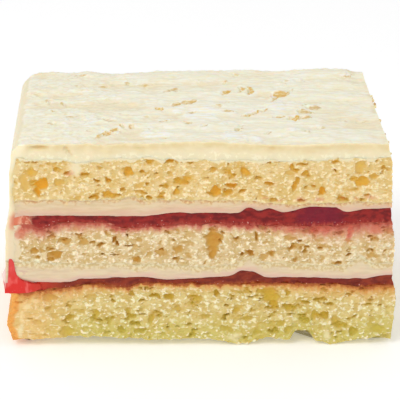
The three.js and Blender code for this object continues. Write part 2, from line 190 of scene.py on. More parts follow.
def base_edge(x, y):
    """The height of the lowest edge, which has a line of its own at the cut front."""
    elsewhere = HIDDEN_EDGE + HIDDEN_SWAY * noise(x / 5, y / 5, 11)
    edge = np.where(y <= FRONT + 0.01, curve(BASE_EDGE, x), elsewhere)
    return edge + CRUMBLED * (1 + rough(x / 1.7, y / 1.7, 31))


jam_lower_base = boundary(JAM_LOWER_BASE, 41, 0.28)
cream_lower_base = boundary(CREAM_LOWER_BASE, 43, 0.12)
sponge_middle_base = boundary(SPONGE_MIDDLE_BASE, 45, 0.34)
jam_upper_base = boundary(JAM_UPPER_BASE, 47, 0.34)
cream_upper_base = boundary(CREAM_UPPER_BASE, 49, 0.12)
sponge_top_base = boundary(SPONGE_TOP_BASE, 51, 0.3)
frosting_base = boundary(FROSTING_BASE, 53, 0.42)


def skin(z):
    """How thick the buttercream is on the outer sides."""
    return curve(SKIN_THICKNESS, z) + 0.25 * noise(z / 2.5, 0 * z, 55)


INSET_REACH = 30  # an inset fades out over this distance from the outer sides


def plan(u, v, z, inset=0.0):
    """The place in plan of the shares u, from left to right, and v, from front to back."""
    left, back = curve(LEFT_SIDE, z), BACK + curve(BACK_SWELL, z)
    x = lerp(left, curve(RIGHT_SIDE, z) - CUT_INSET, u)
    y = lerp(FRONT + CUT_INSET, back, v)
    x = x + inset * np.maximum(0, 1 - (x - left) / INSET_REACH)
    y = y - inset * np.maximum(0, 1 - (back - y) / INSET_REACH)
    radius = CORNER_RADIUS - inset
    a = np.maximum(0, left + inset + radius - x)
    b = np.maximum(0, y - (back - inset - radius))
    kept = np.where((a > 0) & (b > 0), np.maximum(a, b) / np.maximum(np.hypot(a, b), 1e-9), 1)
    return x + a * (1 - kept), y - b * (1 - kept)


def unshifted(x, y, z):
    """The place at which a boundary is asked for its height, so that insets do not move its line."""
    left, right = curve(LEFT_SIDE, z), curve(RIGHT_SIDE, z) - CUT_INSET
    front, back = FRONT + CUT_INSET, BACK + curve(BACK_SWELL, z)
    x0 = lerp(-HALF_WIDTH, HALF_WIDTH, (x - left) / (right - left))
    return x0, lerp(FRONT, BACK, (y - front) / (back - front))


def ring(front, right, back, left):
    """Shares u and v of the places round the cake, anticlockwise from the front left corner."""
    u = [np.arange(front) / front, np.ones(right), 1 - np.arange(back) / back, np.zeros(left)]
    v = [np.zeros(front), np.arange(right) / right, np.ones(back), 1 - np.arange(left) / left]
    return np.concatenate(u), np.concatenate(v)


# %% [markdown]
# ## From rings to a mesh
# A layer is a stack of rings: each ring goes once round the cake at its own height, and the faces
# between two rings make the side. A fan of triangles closes the two ends, which lie hidden against
# the next layer. Every point also gets a few numbers, such as its height above the layer's base.
# The crumb and the colours read those later, so a stain can follow an edge that is never straight.

# %% Mesh makers
def make_mesh(name, points, faces, numbers):
    """An object from points in millimetres, with a named number or vector for each point."""
    mesh = bpy.data.meshes.new(name)
    mesh.from_pydata(((points + ORIGIN) * MM).tolist(), [], faces)
    for key, values in numbers.items():
        vector = values.ndim == 2
        attribute = mesh.attributes.new(key, "FLOAT_VECTOR" if vector else "FLOAT", "POINT")
        attribute.data.foreach_set("vector" if vector else "value", values.astype(float).ravel())
    mesh.validate()
    piece = bpy.data.objects.new(name, mesh)
    bpy.context.scene.collection.objects.link(piece)
    return piece


def stack_faces(rows, count):
    """Quads between stacked rings, and a fan to a middle point at each end."""
    here = np.arange(rows * count).reshape(rows, count)
    after = np.roll(here, -1, axis=1)
    sides = np.stack([here[:-1], after[:-1], after[1:], here[1:]], -1).reshape(-1, 4)
    low = np.full(count, rows * count)
    base = np.stack([low, after[0], here[0]], -1)
    lid = np.stack([low + 1, here[-1], after[-1]], -1)
    return sides.tolist() + base.tolist() + lid.tolist()


def with_ends(values):
    """Adds what the two middle points of the fans get: the mean of the ring next to them."""
    flat = values.reshape(-1, *values.shape[2:])
    return np.concatenate([flat, [values[0].mean(axis=0), values[-1].mean(axis=0)]])


TURN_REACH = 1.5  # near a corner the direction turns over this distance
FOOT_LEAST, FOOT_SHARE, FOOT_MOST = 0.6, 2.8, 9  # how far in the foot stands, by the edge's height
FOOT_NEIGHBOURS = 4  # places on either side that even out where it stands
NO_EDGE = 9  # the distance to an edge that isn't there


def facing_in(u, v, outer):
    """The direction from a side into the cake: full on the cut faces, `outer` on the two others."""
    near = lambda distance: np.clip(1 - distance / TURN_REACH, 0, 1)
    width, depth = 2 * HALF_WIDTH, BACK - FRONT
    x = outer * near(u * width) - near((1 - u) * width)
    y = near(v * depth) - outer * near((1 - v) * depth)
    length = np.maximum(1, np.hypot(x, y))
    return np.stack([x / length, y / length, 0 * x], -1)


def foot_of(x, y, height):
    """Where a layer stands under its lowest ring: further in where the edge hangs higher."""
    reach = np.clip(FOOT_LEAST + FOOT_SHARE * height, 0, FOOT_MOST)
    near = range(-FOOT_NEIGHBOURS, FOOT_NEIGHBOURS + 1)
    reach = sum(np.roll(reach, k) for k in near) / len(near)
    foot_x = np.clip(x, x.min() + reach, x.max() - reach)
    return foot_x, np.clip(y, y.min() + reach, y.max() - reach)


def layer(name, low, high, rows, around, outer=0.0, inset=None, foot=False, extra=None):
    """A layer between two boundaries. `extra` gives more numbers from the places of its points."""
    u, v = ring(*around)
    x0, y0 = lerp(-HALF_WIDTH, HALF_WIDTH, u), lerp(FRONT, BACK, v)
    share = np.linspace(0, 1, rows + 1)[:, None]
    z = lerp(low(x0, y0), high(x0, y0), share)
    if inset:
        x0, y0 = unshifted(*plan(u, v, z, inset(z)), z)
        z = lerp(low(x0[0], y0[0]), high(x0[-1], y0[-1]), share)
    x, y = plan(u, v, z, inset(z) if inset else 0.0)
    inward = np.broadcast_to(facing_in(u, v, outer), (*z.shape, 3))
    numbers = {"rise": z - z[0], "drop": z[-1] - z, "inward": inward}
    numbers["from_left"] = x - curve(LEFT_SIDE, z)
    beside = numbers["from_left"] - inset(z) if inset else NO_EDGE + 0 * z
    edge = np.minimum(np.minimum(z[-1] - z, beside), NO_EDGE if foot else z - z[0])
    numbers["edge"] = edge + 0.5 * rough(x / 1.2, z / 1.2, 35)
    numbers.update(extra(x, y, z, z - z[0], z[-1] - z, beside) if extra else {})
    if foot:
        foot_x, foot_y = foot_of(x[0], y[0], z[0])
        x, y, z = (np.vstack([a, b]) for a, b in ((foot_x, x), (foot_y, y), (0 * u, z)))
        numbers = {key: np.concatenate([values[:1], values]) for key, values in numbers.items()}
    points = with_ends(np.stack([x, y, z], -1))
    numbers = {key: with_ends(np.asarray(values, float)) for key, values in numbers.items()}
    piece = make_mesh(name, points, stack_faces(*z.shape), numbers)
    print(name, "has", len(piece.data.polygons), "faces before its finish")
    return piece


# %% [markdown]
# ## Node trees written as sums
# Both Geometry Nodes and materials are node trees, and maths in them takes a node for each step.
# Wrapping a socket in a small class lets Python's own operators add those nodes, so the rule for a
# bubble or a stain reads like the formula it is.

# %% A class for sockets
class Wire:
    """An output socket. Operators on it add Math nodes, or Vector Math nodes for a vector."""

    def __init__(self, graph, socket):
        self.graph, self.socket = graph, socket
        self.is_vector = socket.type in ("VECTOR", "RGBA")

    def __add__(self, other):
        return self.graph.math("ADD", self, other)

    def __sub__(self, other):
        return self.graph.math("SUBTRACT", self, other)

    def __mul__(self, other):
        return self.graph.math("MULTIPLY", self, other)

    def __truediv__(self, other):
        return self.graph.math("DIVIDE", self, other)

    def __rsub__(self, other):
        return self.graph.math("SUBTRACT", other, self)

    __radd__, __rmul__ = __add__, __mul__


class Graph:
    """A node tree in the making."""

    def __init__(self, tree):
        self.tree = tree
        self.tree.nodes.clear()

    def node(self, kind, settings=None, values=None):
        """Adds a node: its settings first, then a number, a colour or a link for each socket."""
        node = self.tree.nodes.new(kind)
        for key, value in (settings or {}).items():
            setattr(node, key, value)
        for key, value in (values or {}).items():
            if isinstance(value, Wire):
                self.tree.links.new(value.socket, node.inputs[key])
            else:
                node.inputs[key].default_value = value
        return node

    def wire(self, kind, settings=None, values=None, output=0):
        return Wire(self, self.node(kind, settings, values).outputs[output])

    def math(self, operation, *values):
        vectors = [isinstance(v, tuple) or getattr(v, "is_vector", False) for v in values]
        if not any(vectors):
            return self.wire("ShaderNodeMath", {"operation": operation}, dict(enumerate(values)))
        if operation == "MULTIPLY" and not all(vectors):
            vector, scale = values if vectors[0] else values[::-1]
            values = {0: vector, 3: scale}
            return self.wire("ShaderNodeVectorMath", {"operation": "SCALE"}, values)
        return self.wire("ShaderNodeVectorMath", {"operation": operation}, dict(enumerate(values)))

    def dot(self, a, b):
        settings = {"operation": "DOT_PRODUCT"}
        return self.wire("ShaderNodeVectorMath", settings, {0: a, 1: b}, "Value")

    def step(self, value, low, high):
        """0 below low, 1 above high, and smooth between. It falls instead if low is above high."""
        settings = {"interpolation_type": "SMOOTHSTEP", "clamp": True}
        if low > high:
            return 1 - self.step(value, high, low)
        return self.wire("ShaderNodeMapRange", settings, {0: value, 1: low, 2: high})

    def noise(self, place, size, detail=2.0, output=0):
        """Noise whose blobs are `size` across, in the place's own unit."""
        values = {"Vector": place, "Scale": 1 / size, "Detail": detail}
        return self.wire("ShaderNodeTexNoise", None, values, output)

    def mix(self, share, first, second):
        values = {0: share, 6: first, 7: second}
        return self.wire("ShaderNodeMix", {"data_type": "RGBA"}, values, 2)


# %% How a tree starts and how it is used
def started_tree(name, inputs):
    """A tree with named inputs, the graph that fills it, and a function that gives an input."""
    tree = bpy.data.node_groups.new(name, "GeometryNodeTree")
    add = tree.interface.new_socket
    add("Geometry", in_out="INPUT", socket_type="NodeSocketGeometry")
    for key, default in inputs.items():
        kind = "NodeSocketInt" if isinstance(default, int) else "NodeSocketFloat"
        add(key, in_out="INPUT", socket_type=kind).default_value = default
    add("Finish", in_out="INPUT", socket_type="NodeSocketMaterial")
    add("Geometry", in_out="OUTPUT", socket_type="NodeSocketGeometry")
    g = Graph(tree)
    start = g.node("NodeGroupInput")
    return tree, g, lambda key: Wire(g, start.outputs[key])


def known(g, name, kind="FLOAT"):
    """A number or a vector that each point holds under this name."""
    return g.wire("GeometryNodeInputNamedAttribute", {"data_type": kind}, {"Name": name})


def made_plain(piece, keep_all):
    """Makes a plain mesh of what a piece's modifiers give, with all of its numbers if asked."""
    depsgraph = bpy.context.evaluated_depsgraph_get()
    mesh = bpy.data.meshes.new_from_object(
        piece.evaluated_get(depsgraph), preserve_all_data_layers=keep_all, depsgraph=depsgraph
    )
    piece.modifiers.clear()
    piece.data = mesh


def run_nodes(piece, tree, inputs):
    """Runs a tree on a piece with its named inputs, and keeps the result as a plain mesh."""
    modifier = piece.modifiers.new(tree.name, "NODES")
    modifier.node_group = tree
    sockets = {s.name: s.identifier for s in tree.interface.items_tree if s.in_out == "INPUT"}
    for name, value in inputs.items():
        modifier[sockets[name]] = value
    made_plain(piece, keep_all=True)


# %% [markdown]
# ## Open crumb
# Sponge sets round bubbles, and a knife opens them. Painting dark dots would look flat, and cutting
# thousands of balls out of a solid takes minutes. So each point asks a Voronoi texture for the
# nearest bubble's middle, and sinks more the nearer it is. Few bubbles are wide and deep; between
# them lie shallow hollows and fine ones, and torn ridges run along the cut. The depth is stored as
# `pore`, with ridges below zero, so that the material can make deep crumb golden and ridges pale.
# Where cream was dragged over the cut, `cover` fills the crumb.

# %% The crumb as Geometry Nodes
CRUMB_SIZES = {  # metres, or a plain number where the name says so
    "Open bubbles": 0.0034,
    "Shallow bubbles": 0.0026,
    "Fine bubbles": 0.0012,
    "Openness, a factor": 1.0,
    "Deepest": 0.0012,
    "Ridges": 0.00032,
    "Proudest": 0.00024,
    "Seed, a number": 0.0,
}
# How each size of bubble opens: the least and the most radius, as shares of its spacing, the
# steepness, and a shift that sets its pattern apart.
BUBBLE_KINDS = {
    "Open bubbles": (0.1, 0.5, 0.95, 3.1),
    "Shallow bubbles": (0.34, 0.62, 0.3, 7.7),
    "Fine bubbles": (0.1, 0.5, 0.6, 1.9),
}
BUBBLE_SHAPE = (1.2, 1.2, 0.75)  # bubbles are wider than they are high
HALVES = (0.5, 0.5, 0.5)  # the mean of a noise in three directions
SOFT_RIM, SOFT_FLOOR = 0.0002, 0.0004  # metres, where bubbles run together and where they end
FINE_GRAIN = 0.0006  # metres


def bubbles(g, place, size, openness, shift, least, most, steepness):
    """How far the opened bubbles of one size reach below the cut, in metres."""
    shape = {axis: size * share for axis, share in enumerate(BUBBLE_SHAPE)}
    cells = place / g.wire("ShaderNodeCombineXYZ", None, shape) + shift
    bent = cells + (g.noise(cells, 0.9, 1, 1) - HALVES) * 1.3
    bent = bent + (g.noise(cells, 0.3, 1, 1) - HALVES) * 0.6
    settings = {"feature": "F1", "voronoi_dimensions": "3D"}
    voronoi = g.node("ShaderNodeTexVoronoi", settings, {"Vector": bent, "Scale": 1.0})
    to_middle = Wire(g, voronoi.outputs["Position"]) - bent
    luck = g.wire("ShaderNodeSeparateXYZ", None, {0: Wire(g, voronoi.outputs["Color"])})
    radius = (luck * luck * (most - least) + least) * openness
    bowl = (radius * radius - g.dot(to_middle, to_middle)) / radius
    return g.math("MAXIMUM", bowl, 0.0) * steepness * size


def crumb_tree():
    """Sinks each point of a cut sponge into its bubbles, and stores how deep it went."""
    tree, g, given = started_tree("Open crumb", CRUMB_SIZES)
    place = g.wire("GeometryNodeInputPosition")
    inward, hole = known(g, "inward", "FLOAT_VECTOR"), known(g, "hole")
    bare = g.step(known(g, "edge"), -0.1, 0.5) * (1 - known(g, "cover"))
    seed, deepest, ridges = given("Seed, a number"), given("Deepest"), given("Ridges")
    opened = hole * MM
    for name, (least, most, steepness, shift) in BUBBLE_KINDS.items():
        shifted = g.wire("ShaderNodeCombineXYZ", None, {0: seed + shift, 1: seed * 1.7, 2: shift})
        kind = (given("Openness, a factor"), shifted, least, most, steepness)
        opened = g.math("SMOOTH_MAX", opened, bubbles(g, place, given(name), *kind), SOFT_RIM)
    opened = g.math("SMOOTH_MIN", opened, deepest, SOFT_FLOOR) * bare
    pore = opened / deepest
    fine = g.noise(place * (0.6, 0.6, 1.0), FINE_GRAIN, 3)
    torn = g.step(fine, 0.5, 0.68) * g.step(pore, 0.35, 0.05) * bare
    opened = opened + (0.5 - fine) * ridges * 1.6 - torn * ridges
    opened = g.math("MAXIMUM", opened, given("Proudest") * -1)
    stored = g.wire(
        "GeometryNodeStoreNamedAttribute",
        {"data_type": "FLOAT", "domain": "POINT"},
        {"Geometry": given("Geometry"), "Name": "pore", "Value": pore - torn},
    )
    moved = g.wire(
        "GeometryNodeSetPosition", None, {"Geometry": stored, "Offset": inward * opened}
    )
    real = g.wire("GeometryNodeRealizeInstances", None, {"Geometry": moved})
    done = g.wire("GeometryNodeSetMaterial", None, {"Geometry": real, "Material": given("Finish")})
    g.node("NodeGroupOutput", None, {0: done})
    return tree


OPEN_CRUMB = crumb_tree()
print("the crumb's tree has", len(OPEN_CRUMB.nodes), "nodes")

# %% [markdown]
# ## Finishes from attributes
# The materials take their colours as seen in good light, written the usual way from 0 to 255, and
# turned into the linear values that a shader adds up. Every pattern sits on Object coordinates in
# millimetres or on a number stored at the points, so it stays put from any side. A place that is
# multiplied by a share below 1 in one direction draws a pattern out that way.

# %% Helpers for finishes
ACROSS, DEEP, UP = (1.0, 0.0, 0.0), (0.0, 1.0, 0.0), (0.0, 0.0, 1.0)


def colour(red, green, blue):
    """An everyday colour as a linear one with full alpha."""
    shares = [c / 255 for c in (red, green, blue)]
    return (*(c / 12.92 if c <= 0.04045 else ((c + 0.055) / 1.055) ** 2.4 for c in shares), 1.0)


def attribute(g, name):
    return g.wire("ShaderNodeAttribute", {"attribute_name": name}, output="Fac")


def in_millimetres(g):
    return g.wire("ShaderNodeTexCoord", output="Object") * (1 / MM)


def wobble(g, place, size, detail, reach):
    """Noise that moves an edge to and fro, by up to half of `reach` each way."""
    return (g.noise(place, size, detail) - 0.5) * reach


def finish(name, roughness, soft, soft_depth, coat=0.0):
    """A new material with its Principled node, and the graph to feed it."""
    material = bpy.data.materials.new(name)
    material.use_nodes = True
    g = Graph(material.node_tree)
    values = {
        "Roughness": roughness,
        "Subsurface Weight": soft,
        "Subsurface Radius": (1.0, 0.6, 0.35),
        "Subsurface Scale": soft_depth * MM,
        "Coat Weight": coat,
        "Coat Roughness": 0.12,
        "IOR": 1.4,
    }
    shader = g.node("ShaderNodeBsdfPrincipled", None, values)
    output = g.node("ShaderNodeOutputMaterial")
    g.tree.links.new(shader.outputs[0], output.inputs[0])
    return material, g, shader


def feed(g, shader, socket, value):
    g.tree.links.new(value.socket, shader.inputs[socket])


def bump(g, shader, height, distance, strength=1.0):
    values = {"Height": height, "Distance": distance * MM, "Strength": strength}
    feed(g, shader, "Normal", g.wire("ShaderNodeBump", None, values))


# %% [markdown]
# ## The three sponges
# A good yellow sponge is pale where the knife smeared its walls and golden in the open bubbles,
# because light that enters a bubble comes back through more crumb. Jam soaks into the sponge that
# it touches. The lowest sponge sat in the tin, so its two outer sides are browned.

# %% What tints the crumb
SPREAD = 0.65  # how far jam soaks in the middle, as a share of the reach stated


def near_the_table(g, place, across, rise, pore, tone, tint, reach):
    """The crumb takes an olive tint towards the base, and is ruddier at the left."""
    share = g.step(rise + wobble(g, place, 5, 2, 6), reach, 0.0)
    ruddy = g.step(across + wobble(g, place, 4, 2, 8), -28, -44)
    share = share * (1 - ruddy * 0.8) * 0.6 * g.step(pore, -0.6, 0.0)
    return g.mix(ruddy * 0.5, g.mix(share, tone, tint), colour(240, 196, 132))


def soaked(g, place, across, tone, soaks, wider):
    """Each of the soaks is (edge, reach, strength, tint). They reach wider at the two ends."""
    spread = g.step(across, -20, -34) * wider[0] + g.step(across, 14, 34) * wider[1] + SPREAD
    for edge, reach, strength, tint in soaks:
        uneven = wobble(g, place * (1.0, 1.0, 0.4), 1.2, 3, 2.6)
        share = g.step((attribute(g, edge) + uneven) / spread, reach, 0.0) * strength
        tone = g.mix(share, tone, tint)
    return tone


def browned(g, place, tone, crust):
    """The two outer sides are browned, unevenly from the first colour to the second."""
    uneven = wobble(g, place, 1.5, 2, 0.8)
    left = g.step(attribute(g, "from_left") + uneven, 2.2, 1.2)
    share = g.math("MAXIMUM", left, g.step(g.dot(place, DEEP) - uneven, 30, 31))
    return g.mix(share, tone, g.mix(g.noise(place * (1.0, 1.0, 0.3), 1.5, 3), *crust))


# %% The finish of the crumb
def crumb_finish(
    name, flake_highlight, pale, body, hollow, pit, deep, smeared,
    soaks=(), wider=(0, 0), crust=None, low=None,
):
    """From pale flakes, which are partly a painted highlight, to deep pits, by how far the points sank.
    The rest is what tints it.
    """
    material, g, shader = finish(name, 0.75, 0.35, 1.0)
    place = in_millimetres(g)
    pore = attribute(g, "pore")
    grain = g.noise(place * (0.6, 0.6, 1.0), 0.5, 4)
    rim = pore + (grain - 0.5) * 0.35
    # Two tones of crumb, then the hollows and the pits, the warmest ones among them, and pale flakes on
    # torn ridges: partly paler crumb, partly a painted highlight.
    tone = g.mix(g.step(g.noise(place, 2.6, 2), 0.38, 0.62), pale, body)
    tone = g.mix(g.step(grain, 0.46, 0.3) * 0.7, tone, hollow)
    tone = g.mix(g.step(rim, 0.02, 0.3), tone, hollow)
    tone = g.mix(g.step(rim, 0.3, 0.75), tone, pit)
    warm = g.math("MAXIMUM", attribute(g, "tint"), g.step(g.noise(place, 7, 1), 0.55, 0.75))
    tone = g.mix(g.step(pore, 0.4, 0.9) * warm, tone, deep)
    # Pale flakes on the torn ridges and curls: partly paler crumb, partly a painted highlight on rims
    # that catch the light.
    highlight_curls = g.step(g.noise(place * (0.8, 0.8, 1.0), 1.1, 4), 0.52, 0.66)
    torn = g.math("MAXIMUM", g.step(pore, -0.2, -0.8), highlight_curls)
    tone = g.mix(torn * g.step(rim, 0.3, 0.05), tone, flake_highlight)
    across, rise = g.dot(place, ACROSS), attribute(g, "rise")
    if low:
        tone = near_the_table(g, place, across, rise, pore, tone, *low)
    tone = soaked(g, place, across, tone, soaks, wider)
    tone = g.mix(attribute(g, "cover"), tone, g.mix(g.step(rise, 3, 6), *smeared))
    tone = g.mix(attribute(g, "stain"), tone, colour(208, 98, 76))
    if crust:
        tone = browned(g, place, tone, crust)
    feed(g, shader, "Base Color", tone)
    bump(g, shader, grain, 0.15)
    return material


TOP_CRUMB = crumb_finish(
    "top crumb",
    flake_highlight=colour(246, 228, 184),
    pale=colour(230, 205, 150),
    body=colour(220, 189, 120),
    hollow=colour(218, 180, 100),
    pit=colour(224, 180, 74),
    deep=colour(228, 166, 46),
    smeared=(colour(224, 205, 168), colour(234, 219, 180)),
)
MIDDLE_CRUMB = crumb_finish(
    "middle crumb",
    flake_highlight=colour(246, 232, 200),
    pale=colour(226, 205, 162),
    body=colour(209, 180, 124),
    hollow=colour(202, 163, 94),
    pit=colour(204, 154, 64),
    deep=colour(194, 134, 50),
    smeared=(colour(227, 208, 172), colour(228, 210, 176)),
    soaks=(
        ("drop", 4.2, 0.75, colour(214, 150, 118)), ("drop", 2.4, 0.85, colour(200, 112, 92)),
        ("drop", 0.9, 0.8, colour(172, 70, 54)),
    ),
    wider=(0.5, 0.9),
)
BOTTOM_CRUMB = crumb_finish(
    "bottom crumb",
    flake_highlight=colour(243, 234, 196),
    pale=colour(220, 200, 136),
    body=colour(211, 185, 114),
    hollow=colour(206, 176, 94),
    pit=colour(206, 175, 66),
    deep=colour(204, 164, 52),
    smeared=(colour(236, 226, 184), colour(238, 214, 160)),
    soaks=(
        ("drop", 4.2, 0.7, colour(222, 170, 96)), ("drop", 1.8, 0.9, colour(206, 130, 58)),
        ("drop", 0.8, 0.85, colour(164, 84, 38)),
    ),
    wider=(0.7, 0.7),
    crust=(colour(238, 182, 98), colour(228, 150, 64)),
    low=(colour(198, 188, 86), 9.0),
)

# %% The holes that show best
# Each row is [x, height, half width, half height, depth, warmth], on the cut front.
HOLES_TOP = [
    # under the buttercream
    (-41.3, 50.4, 1, 0.7, 1, 0.5), (-26.5, 50.7, 1.3, 0.3, 1, 0.3), (-13.2, 50.4, 1.1, 0.6, 1, 0.3),
    (-8.6, 50.5, 2, 0.5, 1.2, 0.7), (-4.6, 50, 2.3, 0.4, 1, 0.4), (17, 49.7, 1.2, 0.5, 1, 0.3),
    (18.6, 50.3, 1, 0.3, 1, 0.3), (25, 49.5, 1.2, 0.4, 1, 0.3), (33.7, 49.8, 1.1, 0.7, 1, 0.4),
    (42.8, 50.3, 1.2, 0.4, 0.8, 0.2),
    # the left half, with the warmest one
    (-40.3, 44, 1.8, 1.1, 1.3, 1.2), (-39.2, 45, 0.8, 0.7, 1.2, 1.1), (-41, 42.2, 1, 1.2, 1.1, 1),
    (-42.5, 47.6, 1.7, 1.2, 0.8, 0.2), (-44.5, 44.8, 1.4, 2, 0.5, 0.1), (-36.3, 48, 1, 0.7, 0.9, 0.5),
    (-35.5, 44.8, 1.4, 1, 0.6, 0.4), (-33.4, 47.3, 1.2, 0.5, 0.9, 1), (-29, 47, 1.4, 0.4, 1, 0.4),
    (-25.7, 48.4, 0.8, 0.6, 0.6, 0.5), (-26.4, 45, 0.8, 0.4, 1.2, 0.8), (-23.3, 45.6, 1, 0.6, 1.2, 0.6),
    (-24.2, 41.5, 1.2, 0.7, 1.1, 0.3), (-18.4, 47.6, 1.1, 1.2, 1.4, 0.4), (-19.7, 43, 0.8, 0.7, 1, 0.4),
    (-13.6, 44.2, 0.7, 0.5, 1.1, 0.5), (-13.2, 41, 0.7, 0.5, 1.2, 0.5), (-10.5, 40.4, 0.9, 0.7, 0.8, 0.6),
    (-8, 47.2, 1, 0.5, 0.6, 0.2), (-6.3, 42.2, 0.9, 0.9, 1, 0.4), (-3.9, 45.5, 1.1, 0.8, 1, 0.2),
    # the right half, with a pair that runs together and a slanting row
    (3.4, 42.4, 1.3, 1.5, 1.5, 0.7), (7.3, 43.8, 1.7, 0.7, 1.3, 0.9), (6.8, 41.7, 1.6, 1.2, 0.4, 0),
    (3.2, 47.8, 1, 0.5, 0.8, 0.2), (10.6, 47.3, 1.2, 1.1, 1.1, 0.4), (17, 43.9, 1.1, 0.6, 1.1, 0.7),
    (22.4, 48.8, 0.9, 0.9, 1, 0.3), (23.2, 43.4, 0.8, 1.2, 1.1, 0.3), (24, 45, 0.9, 1.1, 1.1, 0.3),
    (25.9, 46.7, 1, 0.9, 1, 0.3), (27.9, 43.5, 0.9, 0.6, 1, 0.5), (30, 42, 1, 1, 1.2, 0.9),
    (33.1, 47.7, 0.6, 0.3, 1, 0.9), (39.6, 48.5, 1.5, 1.8, 0.6, 0), (40.3, 44.7, 1.8, 1.5, 1.3, 0.3),
    (43.2, 46.2, 1.2, 0.6, 0.7, 0), (25, 39.8, 1.2, 0.4, 0.9, 0.9), (41.8, 41, 0.9, 0.4, 0.8, 0.7),
]
HOLES_MIDDLE = [
    # the left half
    (-37, 25.3, 1.9, 1.2, 1, 0.2), (-34.5, 29, 1.7, 1.4, 0.7, 0.1), (-34.8, 28.8, 0.6, 0.5, 1.2, 0.4),
    (-42.2, 26.6, 1, 0.7, 0.8, 0.3), (-41.5, 24.6, 0.8, 0.5, 0.8, 0.3), (-29.6, 28.8, 1.3, 1, 0.6, 0.1),
    (-24, 31, 0.6, 1, 0.6, 0.3), (-22.1, 29.6, 0.7, 0.7, 1.3, 0.6), (-21.2, 28.4, 0.6, 0.8, 1.3, 0.6),
    (-18.6, 27.4, 1.5, 0.3, 1, 0.4), (-18.7, 30.5, 0.5, 0.5, 1.3, 0.9), (-25, 25.9, 0.5, 0.3, 1.2, 0.5),
    (-22, 25.2, 1.3, 0.4, 0.9, 0.3), (-16.5, 23.7, 1.2, 0.6, 0.9, 0.2), (-10.2, 26.5, 1, 0.4, 1.2, 0.6),
    (-10.3, 25.8, 1.7, 0.9, 0.6, 0.1), (-9, 31.2, 1, 0.4, 0.9, 0.6), (-6, 26.8, 1.2, 1, 0.7, 0.1),
    # a wedge
    (3, 30, 2.4, 1.2, 1, 0.1), (2.8, 28.5, 2.1, 1.4, 1, 0.1), (2.9, 26.9, 1.7, 1.4, 1, 0.1),
    (3, 25.2, 1, 1.4, 1, 0.1), (4.7, 29, 0.5, 0.6, 1.3, 0.4),
    # the right half
    (8.8, 29.1, 0.4, 0.7, 1.2, 0.6), (14.1, 29.8, 0.5, 1.2, 1, 0.4), (12.5, 25.7, 1.3, 0.8, 1.3, 0.6),
    (10.3, 25.2, 0.6, 0.7, 1.1, 0.4), (17.5, 25.6, 1.4, 0.9, 0.6, 0), (22.3, 29.5, 1.5, 0.8, 0.6, 0.1),
    (24.6, 29, 0.6, 0.4, 1.2, 0.6), (27, 27.4, 0.8, 0.5, 1, 0.3), (30.4, 26.8, 0.8, 0.4, 1, 0.3),
    (15.7, 24.5, 1.2, 0.9, 0.5, 0), (23.8, 23.7, 0.8, 0.8, 0.7, 0.1), (37.7, 24.6, 0.6, 0.4, 1.2, 0.6),
    (43.2, 26.1, 1, 0.4, 0.9, 0.3),
]
HOLES_BOTTOM = [
    # a wedge
    (17.2, 15, 2.9, 1.3, 1.1, 0.7), (17.8, 13.3, 2.3, 1.4, 1.1, 0.6), (18.6, 11.7, 1.2, 1, 1.1, 0.7),
    # the upper half
    (-38.2, 13.7, 1.8, 1.1, 0.9, 0.9), (-27, 9.3, 1.1, 1.3, 0.8, 0.3), (-18.7, 9.6, 1, 0.8, 0.8, 0),
    (-11.8, 13.8, 1.4, 0.7, 1.1, 0.6), (-8.5, 13.5, 1.4, 1, 1.2, 0.6), (-6, 10.3, 1.2, 0.9, 0.7, 0),
    (-1, 13.2, 1.2, 1.1, 0.8, 0.3), (3.6, 14.4, 0.8, 1, 1.2, 0.6), (9, 10.1, 1.3, 1.2, 0.8, 0.1),
    (22.2, 14.5, 0.6, 1.2, 0.9, 0.8), (22.5, 10.3, 1.3, 1, 0.7, 0.1), (33, 11.2, 1.1, 0.5, 1, 0.4),
    (38, 13.9, 1, 0.4, 1, 0.8), (41.7, 15.4, 1.6, 0.5, 1, 1),
    # the lower half
    (-42, 6.8, 1.4, 1, 0.7, 0.3), (-33.5, 7.9, 1.3, 0.9, 1.1, 0.4), (-34.3, 4.3, 1.9, 1.3, 1, 0.2),
    (-23.6, 7.3, 0.8, 0.9, 0.9, 0.1), (-20.3, 4.7, 1.1, 0.9, 1, 0), (-15.2, 4.4, 1.8, 0.9, 0.9, 0),
    (-12.8, 7.7, 0.8, 1.6, 0.8, 0), (-8.4, 5.5, 0.8, 0.4, 1, 0), (-3, 6, 1, 0.5, 0.9, 0),
    (1, 8, 1.7, 0.8, 0.7, 0), (6.5, 4.8, 1.8, 1.1, 0.7, 0), (11.5, 7.2, 1.8, 0.8, 0.7, 0),
    (14.5, 3.7, 1.4, 1.1, 0.8, 0), (20.5, 6.4, 1.5, 1, 0.7, 0), (22.5, 4, 1.2, 1.1, 0.7, 0),
    (29, 8.3, 1, 1.6, 0.8, 0), (34.5, 6.5, 1, 1.8, 0.7, 0), (39.2, 3.6, 1, 1.2, 1.1, 0),
    (45.5, 4.3, 2, 1.3, 0.8, 0),
]
# Jam that ran down the cut: [x, height, half width, half height, strength].
STAINS_MIDDLE = [
    (37.6, 31.2, 1.1, 3.2, 0.8), (-45.6, 31.4, 2.4, 2.4, 0.65), (30, 31.8, 4, 1.6, 0.6),
    (22, 31.6, 2.2, 1.3, 0.5), (44, 31.6, 2.4, 1.8, 0.5),
]
STAINS_TOP = [
    (15.6, 40.2, 1.3, 0.6, 0.35), (20, 40.2, 1.2, 0.5, 0.3), (24.8, 39.9, 2.2, 0.9, 0.45),
    (29.5, 39.8, 2, 0.8, 0.4), (35.6, 40.2, 1.6, 0.8, 0.4), (42.4, 40.4, 2, 0.8, 0.35),
    (-32.6, 46.9, 1.4, 0.6, 0.4), (39, 40, 1, 0.6, 0.3),
]
